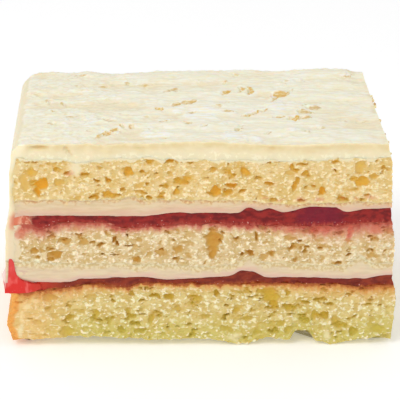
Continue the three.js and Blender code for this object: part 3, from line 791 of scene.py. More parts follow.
# Cream that the knife dragged over the crumb, and a smooth flap of crust, in the same way.
COVER_TOP = [(-31.5, 48.6, 2.4, 3.2, 1)]
COVER_BOTTOM = [
    (-46.2, 4.2, 0.9, 3.2, 0.6), (-45.7, 8, 0.9, 2.4, 0.8), (-44.4, 11, 1.4, 1.5, 0.8),
    (-42.2, 12.9, 1.8, 0.9, 0.6), (8.8, 2.4, 2.8, 2, 0.6), (32.6, 2.6, 1.8, 2.2, 0.6),
]


def distances(table, x, y):
    """For each oval the distance from its middle, which is 1 at its outline, and its last values."""
    for middle_x, middle_y, half_width, half_height, *rest in table:
        yield np.hypot((x - middle_x) / half_width, (y - middle_y) / half_height), rest


def spots(table, x, y, edge):
    """For each oval how strongly it shows, from 0 to 1, with a soft edge of the given share."""
    for away, rest in distances(table, x, y):
        yield smoothstep(1 - away, 0, edge), rest


def bumpy(at, x, z, seed):
    """A coordinate moved by large bends, and by small ones on them."""
    return at + 0.5 * noise(x / 1.3, z / 1.3, seed) + 0.2 * noise(x / 0.5, z / 0.5, seed + 2)


def shown_marks(holes, stains=(), covers=(), below=0, above=0, left=0):
    """Holes, stains and smears as numbers at the points of the cut faces.

    `below`, `above` and `left` say how far cream was dragged over the crumb from those sides.
    """

    def numbers(x, y, z, rise, drop, beside):
        on_front = y < FRONT + CUT_INSET + 0.01
        wide, tall = bumpy(x, x, z, 61), bumpy(z, x, z, 62)
        found = {key: 0 * x for key in ("hole", "tint", "stain", "cover")}
        for away, (depth, warmth) in distances(holes, wide, tall):
            round_off = np.sqrt(np.clip(1 - away**2, 0, 1))
            found["hole"] = np.maximum(found["hole"], depth * round_off)
            found["tint"] = np.maximum(found["tint"], warmth * smoothstep(1.15 - away, 0, 0.3))
        for key, rows in (("stain", stains), ("cover", covers)):
            for shown, (strength,) in spots(rows, wide, tall, 0.7):
                found[key] = np.maximum(found[key], strength * shown)
        found = {key: values * on_front for key, values in found.items()}
        along = x + y
        for reach, away, turn in ((below, rise, 65), (above, drop, 66), (left, beside, 67)):
            ragged = 0.8 * rough(along / 2.4, z / 3, turn)
            ragged = ragged + 0.35 * noise(along / 0.6, z / 0.6, turn)
            smear = smoothstep(reach * (1 + 1.2 * ragged) - away, 0, 0.25) * (reach > 0)
            found["cover"] = np.maximum(found["cover"], smear)
        return found

    return numbers


# %% Make the sponges
SIDE_COLUMNS = (436, 250, 137, 120)  # of the mesh along the front, right, back and left
HIDDEN_SIDE_COLUMNS = (436, 250, 40, 24)  # where buttercream covers the back and the left
ROW = 0.22  # height of a row of the mesh
OVERLAP = 0.3  # each layer reaches this far into the buttercream
SHARP_ANGLE = math.radians(70)


def inner(z):
    """How far inside the cake's outer sides a layer ends, where buttercream covers it."""
    return skin(z) - OVERLAP


BEHIND_BUTTERCREAM = {"around": HIDDEN_SIDE_COLUMNS, "inset": inner}


def rows_between(low, high):
    """How many rows fit the tallest place of a layer."""
    x = np.linspace(-HALF_WIDTH, HALF_WIDTH, 50)
    return int(np.max(high(x, FRONT + 0 * x) - low(x, FRONT + 0 * x)) / ROW)


def sponge(name, node, slot, low, high, finish_used, marks, sizes, **how):
    piece = layer(name, low, high, rows_between(low, high), extra=marks, **how)
    run_nodes(piece, OPEN_CRUMB, {**sizes, "Finish": finish_used})
    settle(piece, node)


def settle(piece, node):
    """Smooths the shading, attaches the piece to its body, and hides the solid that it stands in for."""
    piece.data.shade_smooth()
    piece.data.set_sharp_from_angle(angle=SHARP_ANGLE)
    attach(piece, "root")
    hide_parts(node)
    print(piece.name, len(piece.data.polygons), "faces")


sponge(
    "bottom_sponge", "sponge_bottom", "base_crumb", base_edge, jam_lower_base, BOTTOM_CRUMB,
    shown_marks(HOLES_BOTTOM, (), COVER_BOTTOM), {"Seed, a number": 4.0},
    around=SIDE_COLUMNS, outer=0.35, foot=True,
)
sponge(
    "middle_sponge", "sponge_middle", "crumb", sponge_middle_base, jam_upper_base, MIDDLE_CRUMB,
    shown_marks(HOLES_MIDDLE, STAINS_MIDDLE, below=0.15, left=1), {"Seed, a number": 11.0},
    **BEHIND_BUTTERCREAM,
)
sponge(
    "top_sponge", "sponge_top", "crumb", sponge_top_base, frosting_base, TOP_CRUMB,
    shown_marks(HOLES_TOP, STAINS_TOP, COVER_TOP, 0.1, 0.6, 0.2), {"Seed, a number": 23.0},
    **BEHIND_BUTTERCREAM,
)

# %% [markdown]
# ## Buttercream
# One body covers the top and runs down the two outer sides, with rounded edges there and a sharp
# one at the cut. A block with the outer form is made first: fine rings for its sides and a fine
# grid for its top. The knife's work is in the heights: long strokes along the width, thin lines in
# them, smears that stand a little higher, and places where the buttercream tore and stuck. What it
# wraps is then cut away, which leaves a slab with two thin sides.

# %% What the knife did to the top
EDGE_RADIUS = 2.6
TOP_COLUMNS, TOP_LINES = 320, 160
CLEARANCE = 0.05  # the top stays this far below the solids' highest point
# Each tear is a short stroke, from x, y to x, y: [x, y, x, y, half width, depth, warmth of colour].
TEARS = [
    # at the left
    (-32.8, 25.8, -30, 25.7, 0.7, 0.4, 0.5), (-26.3, 16.8, -24.3, 17.3, 1, 0.4, 0.7),
    (-43, 9.5, -41.5, 9, 1, 0.3, 0.4), (-40, 4.5, -40, 2.5, 0.5, 0.6, 0.5),
    (-36.2, 2.2, -35.3, 0.8, 0.6, 0.6, 0.5), (-38.2, -4.5, -37.7, -6, 0.4, 0.6, 0.5),
    (-35, -11.8, -31.5, -10, 0.5, 0.4, 0.7), (-24.8, -13, -22.3, -14.5, 1.2, 0.5, 0.5),
    (-20.9, -18.7, -19.9, -19.8, 0.5, 0.7, 0.8), (-18.6, -18.6, -17.5, -20, 0.5, 0.7, 0.6),
    (-26.3, -27, -25.3, -25.3, 0.5, 0.5, 0.9), (-25, -24.3, -22.5, -24, 0.8, 1.1, 1),
    (-23, -22.8, -21.5, -20.8, 0.5, 0.6, 0.9),
    # in the middle
    (-18.8, 21.5, -18, 18.5, 0.3, 0.3, 0.5), (-15.5, 17.8, -11.7, 18.5, 0.4, 0.5, 0.5),
    (-9, 10.5, -5.5, 13.5, 0.9, 0.4, 0.3), (-11.5, -4, -9.3, -3.8, 0.6, 0.8, 1),
    (-7, -1, -4.5, 1, 0.8, 0.6, 0.6), (-4, 1.5, -0.3, 1.8, 0.9, 0.7, 0.6),
    (-3, -7.5, -0.3, -7, 0.3, 0.6, 0.3), (-10.2, -15.5, -8.3, -14.5, 0.8, 0.8, 0.9),
    (-4.5, -16.5, -2, -16.5, 0.5, 0.4, 0.5), (0.5, -19.5, 1.8, -18, 0.5, 0.5, 0.5),
    (-10.8, -27.8, -8.5, -27.8, 0.4, 0.4, 0.8), (7, 9, 9, 11, 1.2, 0.6, 0.9),
    (12, 11, 12.3, 15, 0.8, 0.7, 0.9), (14.3, 10, 14.6, 15, 0.8, 0.7, 0.8),
    (4.5, -2.3, 6.5, -2.5, 0.4, 0.3, 0.7), (5.5, -6.3, 9, -6.3, 0.3, 0.4, 0.6),
    (11.5, -9, 13.5, -9, 0.5, 0.6, 0.8), (13.3, -8.3, 15.2, -6, 0.7, 0.9, 0.9),
    (8.8, -22, 10.2, -20.3, 0.6, 0.8, 0.4), (10, -19, 11.2, -18.3, 0.4, 0.7, 0.4),
    # at the right
    (16.8, -5, 17.7, -3.5, 0.7, 0.5, 0.8), (20.3, 5.5, 21.5, 8.5, 0.7, 0.9, 0.9),
    (21, 9.5, 24.8, 10.5, 0.9, 0.8, 0.7), (26, 11.5, 26.8, 13.5, 0.4, 0.4, 0.2),
    (20, -10.5, 22, -9.7, 0.5, 0.5, 0.7), (24.3, -11.3, 26.5, -11.3, 1.1, 1.2, 1),
    (27, -10.5, 28.8, -11, 0.7, 0.9, 0.5), (27.3, -4, 30, -6.3, 0.9, 0.9, 0.3),
    (28.3, 0, 28.7, 1, 0.4, 0.7, 0.2), (29.3, -1.3, 32.3, -1.5, 0.4, 0.8, 0.2),
    (16.8, -24.5, 17.4, -23, 0.4, 0.4, 0.5), (27, -24, 27.7, -22.3, 0.4, 0.4, 0.5),
    (40.8, 23.5, 42.8, 23.8, 0.5, 0.4, 0.7), (42.8, 24, 43.2, 26.5, 0.4, 0.5, 0.5),
]
NICKS = 24  # smaller tears than those, in random places


def nicks():
    """Small tears along the knife's way, as rows like those of the tears."""
    random = np.random.default_rng(41)
    x, y = random.uniform(-44, 44, NICKS), random.uniform(-31, 27, NICKS)
    length, slant = random.uniform(0.2, 1.6, NICKS), random.uniform(-0.5, 0.5, NICKS)
    width, depth = random.uniform(0.25, 0.5, NICKS), random.uniform(0.25, 0.5, NICKS)
    warmth = random.uniform(0.3, 0.8, NICKS)
    return list(zip(x, y, x + length, y + slant, width, depth, warmth))


# Smears of whiter buttercream: [x, y, half length, half width].
SMEARS = [
    (0.5, -9.5, 7, 6.5), (-6, -5, 2.5, 3.5), (6, -16, 3, 5), (7, -27, 5, 3.5), (23, 0, 4, 7.5),
    (29, 22, 2.5, 2.5), (14, -30, 4, 3), (-35, -16, 2, 3), (-28, -14, 2, 8), (-24, 6, 3, 4),
    (23, -22, 3, 2), (-12, -25, 4, 2.5),
]
# Dents in the cut edge: [x, height, half width, half height, depth].
EDGE_DENTS = [
    (-40.4, 53.9, 3.4, 0.8, 0.8), (-33.7, 53.7, 0.7, 0.8, 0.6), (-33.1, 52.8, 0.7, 0.8, 0.6),
    (-32.5, 52, 0.6, 0.8, 0.5), (17.5, 53.4, 1.6, 0.9, 0.4),
    (-15, 53.8, 3, 0.5, 0.3), (2, 53.8, 4, 0.5, 0.25), (30, 53.6, 4, 0.6, 0.3),
]


def wandered(x, y, reach, seed):
    """The place moved by noise, which breaks up the outline of a round spot."""
    return (
        x + reach * rough(x / 2.6, y / 2.6, seed),
        y + reach * rough(x / 2.6, y / 2.6, seed + 5),
    )


THINNEST = 0.12  # least half width of a stroke
LIP_WIDTH = 0.9  # of the raised lip beside a stroke


def stroke(x, y, start_x, start_y, end_x, end_y, half_width):
    """How strongly a stroke and its lip show: it's thin at its ends and deepest towards the front, where
    the tear's colour also grows darker, a painted shade.
    """
    along_x, along_y = end_x - start_x, end_y - start_y
    length = max(0.1, along_x**2 + along_y**2)
    share = np.clip(((x - start_x) * along_x + (y - start_y) * along_y) / length, 0, 1)
    off_x, off_y = x - start_x - share * along_x, (y - start_y - share * along_y) / 2
    width = half_width * (0.55 + 0.75 * np.sin(math.pi * share)) + 0.15 * rough(x, y / 1.5, 93)
    width = np.maximum(THINNEST, width)
    lean_and_shade = np.clip(off_y / width, -1, 1)
    away = np.hypot(off_x, off_y)
    lip = smoothstep(LIP_WIDTH + width - away, 0, 0.8) * smoothstep(off_y, -0.3, 0.3)
    # Deeper and darker towards the front: partly real depth, partly painted shade.
    return smoothstep(1.05 - away / width) * (0.8 - 0.35 * lean_and_shade), lip


def knife_work(x, y):
    """Relief of the top in millimetres, with how torn, how warm and how white it is; the white includes a
    painted highlight on the raised lips beside the tears.
    """
    torn, warmth, smear, lips_with_highlight = 0 * x, 0 * x, 0 * x, 0 * x
    wide, long = wandered(x, y, 0.5, 91)
    broken = np.clip(1.1 + 0.5 * rough(x / 1.3, y / 0.9, 94), 0.5, 1.2)
    for *line, depth, warm in TEARS + nicks():
        shown, lip = stroke(wide, long, *line)
        shown = shown * broken
        torn = np.maximum(torn, depth * shown)
        # Raised lips beside the tears: real relief, and also whitened later as a painted highlight.
        lips_with_highlight = np.maximum(lips_with_highlight, min(1, depth) * lip * (1 - shown))
        warmth = np.maximum(warmth, warm * smoothstep(shown, 0, 0.3))
    for shown, _ in spots(SMEARS, *wandered(x, y, 2.2, 95), 0.6):
        smear = np.maximum(smear, shown)
    # Long strokes and thin lines run along the width, and a smear covers most of the lines.
    strokes = 0.5 * noise(x / 19, y / 4.5, 17)
    lines = 0.1 * noise(x / 6, y / 0.8, 81) + 0.07 * noise(x / 3, y / 0.5, 82)
    waves = 0.28 * rough(x / 6, y / 3.5, 84)
    pitted = smoothstep(-x, 5, 35)
    # The left is rougher, and so is the edge at the back.
    grain = (0.06 + 0.08 * pitted) * rough(x / 1.2, y / 1.2, 83)
    grain = grain + 0.24 * rough(x / 1.5, y / 1.5, 92) * smoothstep(y, BACK - 4, BACK - 1.5)
    relief = strokes + waves + lines * (1 - 0.6 * smear) + grain + 0.28 * smear
    # The last value joins real whiter smears with the painted highlight on the lips.
    return relief + 0.3 * lips_with_highlight - torn, np.minimum(1, torn / 0.55), warmth, np.maximum(smear, lips_with_highlight)


def edge_drop(distance):
    """How far a rounded edge lies below the flat top."""
    inside = np.maximum(0, EDGE_RADIUS - distance)
    return EDGE_RADIUS - np.sqrt(EDGE_RADIUS**2 - inside**2)


def flat_top(x, y):
    return lerp(curve(FROSTING_TOP, x), curve(FROSTING_TOP_BACK, x), smoothstep(y, 0, BACK))


def top_height(u, v):
    x, y = lerp(-HALF_WIDTH, HALF_WIDTH, u), lerp(FRONT, BACK, v)
    drop = edge_drop(u * 2 * HALF_WIDTH) + edge_drop((1 - v) * (BACK - FRONT))
    height = flat_top(x, y) + knife_work(x, y)[0] - np.minimum(EDGE_RADIUS, drop)
    return np.minimum(height, solid_box[1].z / MM - CLEARANCE)


def dents(x, z):
    """How deep the cut edge is dented at places of the front."""
    return sum(depth * shown for shown, (depth,) in spots(EDGE_DENTS, x, z, 0.8))


# %% The block of buttercream
def cream_relief(along, z):
    """How far cream sinks on the cut faces: faint lines that the knife drew."""
    return 0.12 + 0.16 * noise(along / 7, z / 0.8, 71) + 0.06 * noise(along / 2, z / 0.5, 72)


def side_relief(along, z, on_cut):
    """How far the sides sink: soft lumps on the outer two, and drag lines on the cut ones."""
    lumps = 0.25 + 0.3 * noise(along / 8, z / 5, 85) + 0.1 * noise(along / 2.5, z / 1.6, 86)
    lumps = lumps + 0.25 * rough(along / 2.2, z / 2.5, 90) * smoothstep(z, 46, 50)
    drags = 0.08 + 0.08 * noise(along / 6, z / 0.9, 87)
    drags = lerp(cream_relief(along, z), drags, smoothstep(z, 41, 44)) + dents(along - FRONT, z)
    return np.where(on_cut, drags, np.maximum(0, lumps))


CLOSE_RINGS = 0.86  # above this share of the height the rings lie closer together
RELIEF_FADE = 0.02  # the relief of the sides fades out over this share of the height


def block():
    """The buttercream's outer form, closed, from rings up the sides and a grid over the top."""
    u, v = ring(TOP_COLUMNS, TOP_LINES, TOP_COLUMNS, TOP_LINES)
    x0, y0 = lerp(-HALF_WIDTH, HALF_WIDTH, u), lerp(FRONT, BACK, v)
    low, high = sponge_middle_base(x0, y0), top_height(u, v)
    shares = [np.linspace(0, CLOSE_RINGS, 16), np.linspace(CLOSE_RINGS, 1, 12)[1:]]
    share = np.concatenate(shares)[:, None]
    z = lerp(low, high, share)
    x, y = plan(u, v, z)
    inward = facing_in(u, v, 1.0)
    on_cut = (v == 0) | (u == 1)
    depth = side_relief(x + y, z, on_cut) * np.minimum(1, (1 - share) / RELIEF_FADE)
    x, y = x + inward[:, 0] * depth, y + inward[:, 1] * depth
    sides = np.stack([x, y, z], -1)
    places = (np.arange(1, count) / count for count in (TOP_COLUMNS, TOP_LINES))
    grid_u, grid_v = np.meshgrid(*places, indexing="ij")
    grid_z = top_height(grid_u, grid_v)
    grid = np.stack([*plan(grid_u, grid_v, grid_z), grid_z], -1).reshape(-1, 3)
    rows, count = z.shape
    points = np.concatenate([sides.reshape(-1, 3), grid, [sides[0].mean(axis=0)]])
    # The sides come without their two fans: the grid closes the top, and one fan the base.
    faces = [face for face in stack_faces(rows, count) if max(face) < rows * count]
    cap = cap_index((rows - 1) * count, rows * count)
    quads = np.stack([cap[:-1, :-1], cap[1:, :-1], cap[1:, 1:], cap[:-1, 1:]], -1)
    first, middle = np.arange(count), np.full(count, len(points) - 1)
    base = np.stack([middle, np.roll(first, -1), first], -1)
    faces = faces + quads.reshape(-1, 4).tolist() + base.tolist()
    return make_mesh("buttercream", points, faces, {})


def cap_index(rim, first_new):
    """The point numbers of the top's grid: its border is the last ring, its inside is new."""
    index = np.empty((TOP_COLUMNS + 1, TOP_LINES + 1), int)
    inside = index[1:-1, 1:-1]
    inside[:] = first_new + np.arange(inside.size).reshape(inside.shape)
    around = rim + np.arange(2 * (TOP_COLUMNS + TOP_LINES))
    index[:-1, 0] = around[:TOP_COLUMNS]
    index[-1, :-1] = around[TOP_COLUMNS : TOP_COLUMNS + TOP_LINES]
    index[:0:-1, -1] = around[TOP_COLUMNS + TOP_LINES : 2 * TOP_COLUMNS + TOP_LINES]
    index[0, :0:-1] = around[2 * TOP_COLUMNS + TOP_LINES :]
    return index


# %% Cut away what the buttercream wraps
CORE_OVERHANG, CORE_BASE, CORE_ROWS = 5, 18, 10
CORE_COLUMNS = (330, 200, 60, 40)  # along the front, right, back and left


def core():
    """Everything inside the buttercream, run out past the two cut faces."""
    u, v = ring(*CORE_COLUMNS)
    x0, y0 = lerp(-HALF_WIDTH, HALF_WIDTH, u), lerp(FRONT, BACK, v)
    share = np.linspace(0, 1, CORE_ROWS + 1)[:, None]
    z = lerp(CORE_BASE, frosting_base(x0, y0), share)
    x0, y0 = unshifted(*plan(u, v, z, skin(z)), z)
    z = lerp(CORE_BASE, frosting_base(x0[-1], y0[-1]), share)
    x, y = plan(u, v, z, skin(z))
    x, y = x + CORE_OVERHANG * (u == 1), y - CORE_OVERHANG * (v == 0)
    # One more ring, inside the cut faces at the same heights, keeps the roof's line true there.
    inside = np.interp(u, [0, 0.05, 0.95, 1], [0.03, 0.05, 0.95, 0.97])
    behind = np.interp(v, [0, 0.07, 0.93, 1], [0.05, 0.07, 0.93, 0.95])
    inner_x, inner_y = plan(inside, behind, z[-1], skin(z[-1]))
    x, y, z = np.vstack([x, inner_x]), np.vstack([y, inner_y]), np.vstack([z, z[-1]])
    return make_mesh("core", with_ends(np.stack([x, y, z], -1)), stack_faces(*z.shape), {})


def combine(piece, other, operation):
    """Joins or cuts a closed mesh with another, which is used up."""
    modifier = piece.modifiers.new(operation, "BOOLEAN")
    modifier.operation, modifier.solver, modifier.object = operation, "MANIFOLD", other
    made_plain(piece, keep_all=False)
    piece.data.materials.clear()
    bpy.data.objects.remove(other)
    print(piece.name, operation.lower(), "leaves", len(piece.data.polygons), "faces")
    return piece


def store_numbers(piece, numbers_at):
    """Stores numbers at a finished mesh's points, worked out from their places in millimetres."""
    mesh = piece.data
    points = np.empty(len(mesh.vertices) * 3)
    mesh.vertices.foreach_get("co", points)
    for key, values in numbers_at(*(points.reshape(-1, 3) / MM - ORIGIN).T).items():
        mesh.attributes.new(key, "FLOAT", "POINT").data.foreach_set("value", values.astype(float))


def buttercream_numbers(x, y, z):
    """What the knife left on the top, where the cut and its dents are, and the drop from the top."""
    relief, torn, warmth, smear = knife_work(x, y)
    drop = flat_top(x, y) + relief - z
    on_top = smoothstep(EDGE_RADIUS + 0.6 - drop, 0, 0.6)
    right = curve(RIGHT_SIDE, z) - CUT_INSET
    cut = np.maximum(smoothstep(FRONT + 1.6 - y, 0, 0.3), smoothstep(x - right + 1.3, 0, 0.3))
    over = np.maximum(0, 0.5 * rough(x / 3.5, y / 3.5, 88) - 0.2)  # cream that hangs over the edge
    skin_reach = lerp(0.3, 2.4, smoothstep(z, 48.5, 52)) + 0.5 * noise(z / 1.5, 0 * z, 89)
    beside = smoothstep(x - curve(LEFT_SIDE, z) - skin_reach, -0.9, 1.1)
    # Painted shade along the cut edge: the cut's darker tone is laid over the very rim, which dulls the
    # light it catches.
    rim = 0.6 * smoothstep(FRONT + CUT_INSET + 0.3 - y, 0, 0.15)
    cut = cut * np.maximum(smoothstep(drop - over, -0.2, 0.6), rim) * beside
    shown = {"torn": torn, "warmth": warmth, "smear": smear, "relief": relief}
    shown = {key: values * on_top for key, values in shown.items()}
    # With the dents, whose share of the cut gets painted shadow.
    return {"cut": cut, "drop": drop, "dent": cut * dents(x, z), **shown}


def spread_tone(g, place, drawn):
    """The spread faces: ivory, with painted shade in the low places, whiter in smears and on the lips
    beside tears, where the white is a painted highlight, warm where it tore.
    """
    fine = g.step(g.noise(drawn, 0.8, 3), 0.35, 0.65)
    ivory = g.mix(fine, colour(255, 251, 234), colour(251, 241, 212))
    ivory = g.mix(g.step(g.noise(place, 14, 2), 0.4, 0.65) * 0.35, ivory, colour(252, 242, 212))
    # Painted shade: the low places of the relief take a duller tone.
    low = g.step(attribute(g, "relief") + wobble(g, place, 2, 3, 0.8), 0.0, -0.6)
    ivory = g.mix(low * 0.55, ivory, colour(240, 222, 180))
    pitted = g.step(g.dot(place, ACROSS), 15, -35) * 0.35 + 0.2
    specks = g.step(g.noise(place * (0.6, 1.0, 1.0), 1.1, 4), 0.54, 0.68)
    ivory = g.mix(specks * pitted, ivory, colour(238, 220, 178))
    # Whiter where buttercream was smeared, and a painted highlight on the raised lips beside the tears.
    tone = g.mix(attribute(g, "smear") * g.step(fine, 1.2, 0.0) * 0.8, ivory, colour(255, 254, 246))
    hollow = g.mix(attribute(g, "warmth"), colour(214, 192, 150), colour(227, 184, 84))
    shreds = g.noise(place * (0.35, 1.0, 1.0), 0.5, 3)
    hollow = g.mix(g.step(shreds, 0.42, 0.62) * 0.6, hollow, colour(248, 236, 198))
    torn = attribute(g, "torn") + (0.5 - shreds) * 1.6
    tone = g.mix(g.step(torn, 0.05, 1.0) * g.step(attribute(g, "torn"), 0.0, 0.25), tone, hollow)
    return g.mix(g.step(attribute(g, "drop"), 0.02, 0.5), tone, colour(242, 230, 196))


def cut_tone(g, place):
    """The cut edge: darker at the top with painted shade under the edge, painted shadow in its dents,
    flaky lower down, and different at the left corner.
    """
    depth = attribute(g, "drop") + wobble(g, place * (0.5, 0.5, 1.0), 2.2, 3, 2.6)
    # Painted shade: the cut face is darker just under the top edge.
    side = g.mix(g.step(depth, 0.4, 3.0), colour(224, 205, 156), colour(233, 220, 184))
    side = g.mix(g.step(g.noise(place, 3, 2), 0.45, 0.65) * 0.4, side, colour(238, 224, 186))
    flakes = g.step(g.noise(place, 0.9, 3), 0.52, 0.6) * g.step(depth, 2.0, 3.4)
    side = g.mix(flakes * 0.5, side, colour(250, 241, 212))
    # Painted shadow in the dents of the cut edge.
    side = g.mix(g.step(attribute(g, "dent"), 0.1, 0.6) * 0.6, side, colour(222, 188, 120))
    # Its end at the left corner takes a tone from each layer beside it, and a stain from the jam.
    height = g.dot(place, UP) + wobble(g, place, 1.5, 2, 1.5)
    side = g.mix(g.step(height, 49.5, 47), side, colour(230, 206, 146))
    side = g.mix(g.step(height, 42, 38.5), side, colour(224, 203, 164))
    side = g.mix(g.step(height, 32, 30), side, colour(230, 212, 178))
    stain = g.step(height, 31.6, 33.6) * g.step(height, 37.2, 35.2)
    return g.mix(stain * 0.9, side, colour(216, 122, 90))


def buttercream_finish():
    material, g, shader = finish("buttercream", 0.42, 0.4, 1.5)
    place = in_millimetres(g)
    drawn = place * (0.25, 1.0, 1.0)
    spread, side = spread_tone(g, place, drawn), cut_tone(g, place)
    feed(g, shader, "Base Color", g.mix(attribute(g, "cut"), spread, side))
    bump(g, shader, g.noise(drawn, 0.5, 3), 0.15, 0.6)
    return material


buttercream = combine(block(), core(), "DIFFERENCE")
store_numbers(buttercream, buttercream_numbers)
buttercream.data.materials.append(buttercream_finish())
settle(buttercream, "frosting")

# %% [markdown]
# ## Cream and jam
# Both were spread with a knife, so their cut edges are smooth and drawn out sideways. The cream
# picks up pink from the jam under it. The jam is wet: a clear coat gives it small, sharp lights,
# and small pale sparkles are painted into its colour as further highlights. It sits back a little
# from the crumb, in soft lumps of fruit.

# %% Smooth fillings
def filling(name, low, high, relief, **how):
    """A layer of cream or jam. The relief sinks it, in millimetres, by the place round the cake."""
    piece = layer(name, low, high, rows_between(low, high), **how)
    mesh = piece.data
    points, inward = (np.empty(len(mesh.vertices) * 3) for _ in range(2))
    mesh.vertices.foreach_get("co", points)
    mesh.attributes["inward"].data.foreach_get("vector", inward)
    points, inward = points.reshape(-1, 3), inward.reshape(-1, 3)
    along = (points[:, 0] + points[:, 1]) / MM
    points += inward * (relief(along, points[:, 2] / MM) * MM)[:, None]
    mesh.vertices.foreach_set("co", points.ravel())
    return piece


def jam_relief(along, z):
    lumps = 0.3 + 0.26 * noise(along / 2.2, z / 1.3, 73) + 0.12 * noise(along / 0.8, z / 0.6, 74)
    return lerp(0.1, lumps, smoothstep(along, FRONT - 47, FRONT - 42))  # flush at the left end


def cream_finish(name, light, shade, blush, blush_reach, crumbs, crumb_reach):
    """Cream: `blush` comes up from the jam below, and `crumbs` hang in from the sponge above."""
    material, g, shader = finish(name, 0.45, 0.45, 1.6)
    place = in_millimetres(g)
    drawn = place * (0.2, 0.2, 1.0)
    streaks = g.noise(drawn, 0.7, 3)
    tone = g.mix(g.step(streaks, 0.35, 0.7), light, shade)
    combed = g.step(g.noise(place * (0.25, 0.25, 1.0), 0.5, 2), 0.56, 0.66)
    combed = combed * g.step(attribute(g, "from_left"), 9, 4) * g.step(attribute(g, "rise"), 5, 4)
    tone = g.mix(combed * 0.5, tone, colour(206, 158, 146))
    rise = attribute(g, "rise") + wobble(g, drawn, 0.9, 3, 2.2)
    tone = g.mix(g.step(rise, blush_reach, 0.0) * 0.65, tone, blush)
    drop = attribute(g, "drop") + wobble(g, place, 1.4, 3, 3)
    inward = g.wire("ShaderNodeAttribute", {"attribute_name": "inward"}, output="Vector")
    hung = g.step(drop, crumb_reach, crumb_reach - 1.2)
    hung = hung * g.step(g.dot(inward, (-1.0, 1.0, 0.0)), 0, 0.5)  # on the two cut faces
    tone = g.mix(hung * 0.9, tone, g.mix(g.step(g.noise(place, 0.8, 4), 0.4, 0.6), *crumbs))
    feed(g, shader, "Base Color", tone)
    bump(g, shader, streaks, 0.15, 0.6)
    return material


def squeezed_tone(g, place, across, rise):
    """The squeezed-out lip is brighter than the rest, with a painted highlight streak and a painted
    highlight along its edge.
    """
    tone = g.mix(g.step(rise, 2.5, 7.5), colour(216, 44, 38), colour(216, 70, 66))
    tone = g.mix(g.step(across, -46, -38), tone, colour(186, 52, 32))
    # Painted highlight: a soft streak of light on the lip at the left.
    painted_glare = g.step(g.noise(place * (1.0, 1.0, 0.5), 1.6, 2), 0.5, 0.7) * g.step(across, -40, -44)
    tone = g.mix(painted_glare * 0.5, tone, colour(236, 120, 112))
    # Painted highlight along the lip's left edge.
    painted_edge_highlight = g.step(across, -47.9, -48.7) * g.step(rise, 1.5, 4)
    tone = g.mix(painted_edge_highlight * 0.45, tone, colour(240, 140, 140))
    return g.mix(attribute(g, "wing"), tone, colour(244, 216, 208))


def jam_finish(name, light, dark, plum, red, below, reach, left_end):
    """Jam: dark on top, `red` below `reach`, a share of its height, and `below` at the bottom."""
    material, g, shader = finish(name, 0.35, 0.15, 0.8, coat=0.1)
    shader.inputs["Specular IOR Level"].default_value = 0.3
    place = in_millimetres(g)
    across = g.dot(place, ACROSS)
    lumps = g.noise(place * (0.5, 0.5, 1.0), 1.1, 3)
    # Lumps of fruit, a plum-coloured patch towards the right, and paler jam towards the underside.
    tone = g.mix(g.step(lumps, 0.35, 0.65), dark, light)
    patch = g.step(across + wobble(g, place, 4, 2, 8), 23, 28) * g.step(across, 39, 34)
    tone = g.mix(patch * 0.8, tone, plum)
    rise, drop = attribute(g, "rise"), attribute(g, "drop")
    fringe = wobble(g, place * (1.0, 1.0, 0.35), 0.9, 3, 0.7)
    level = rise / (rise + drop + 0.05) + fringe
    level = level / (1 - g.step(across, 5, 25) * 0.45)
    tone = g.mix(g.step(level, reach, 0.0), tone, red)
    tone = g.mix(g.step(level, reach * 0.4, -0.1), tone, below)
    # At the left end, cream has mixed with the jam.
    mottled = g.step(g.noise(place, 1.0, 3), 0.42, 0.6)
    mottled = g.mix(mottled, colour(196, 96, 70), colour(228, 166, 134))
    left = g.step(attribute(g, "from_left") + wobble(g, place, 2, 2, 6), 7.5, 4.5)
    tone = g.mix(left * left_end, tone, mottled)
    end = g.step(attribute(g, "from_left"), 3.6, 2.4)
    tone = g.mix(end * left_end, tone, colour(216, 122, 90))
    squeezed = squeezed_tone(g, place, across, rise)
    tone = g.mix(attribute(g, "lip"), tone, squeezed)
    # Painted highlights: small pale sparkles, in the lower part of the jam.
    painted_sparkles = g.step(g.noise(place, 0.5, 2), 0.66, 0.74) * g.step(level, 0.6, 0.3)
    tone = g.mix(painted_sparkles * 0.7, tone, colour(236, 190, 176))
    feed(g, shader, "Base Color", tone)
    bump(g, shader, g.noise(place, 0.6, 3), 0.2, 0.5)
    return material


UPPER_CREAM = cream_finish(
    "upper cream", colour(224, 203, 168), colour(216, 192, 153), colour(220, 172, 154), 2.5,
    (colour(204, 150, 96), colour(230, 202, 148)), 1.2,
)
LOWER_CREAM = cream_finish(
    "lower cream", colour(224, 205, 172), colour(216, 195, 162), colour(222, 178, 166), 1.8,
    (colour(208, 180, 126), colour(230, 214, 174)), 2.0,
)
UPPER_JAM = jam_finish(
    "upper jam", colour(150, 32, 26), colour(108, 10, 12), colour(120, 10, 38),
    red=colour(158, 46, 34), below=colour(180, 82, 66), reach=0.5, left_end=1.0,
)
LOWER_JAM = jam_finish(
    "lower jam", colour(140, 48, 22), colour(112, 28, 14), colour(120, 26, 16),
    red=colour(150, 66, 26), below=colour(180, 98, 44), reach=0.4, left_end=0.0,
)
IN_THE_OPEN = {"around": SIDE_COLUMNS, "outer": 1}

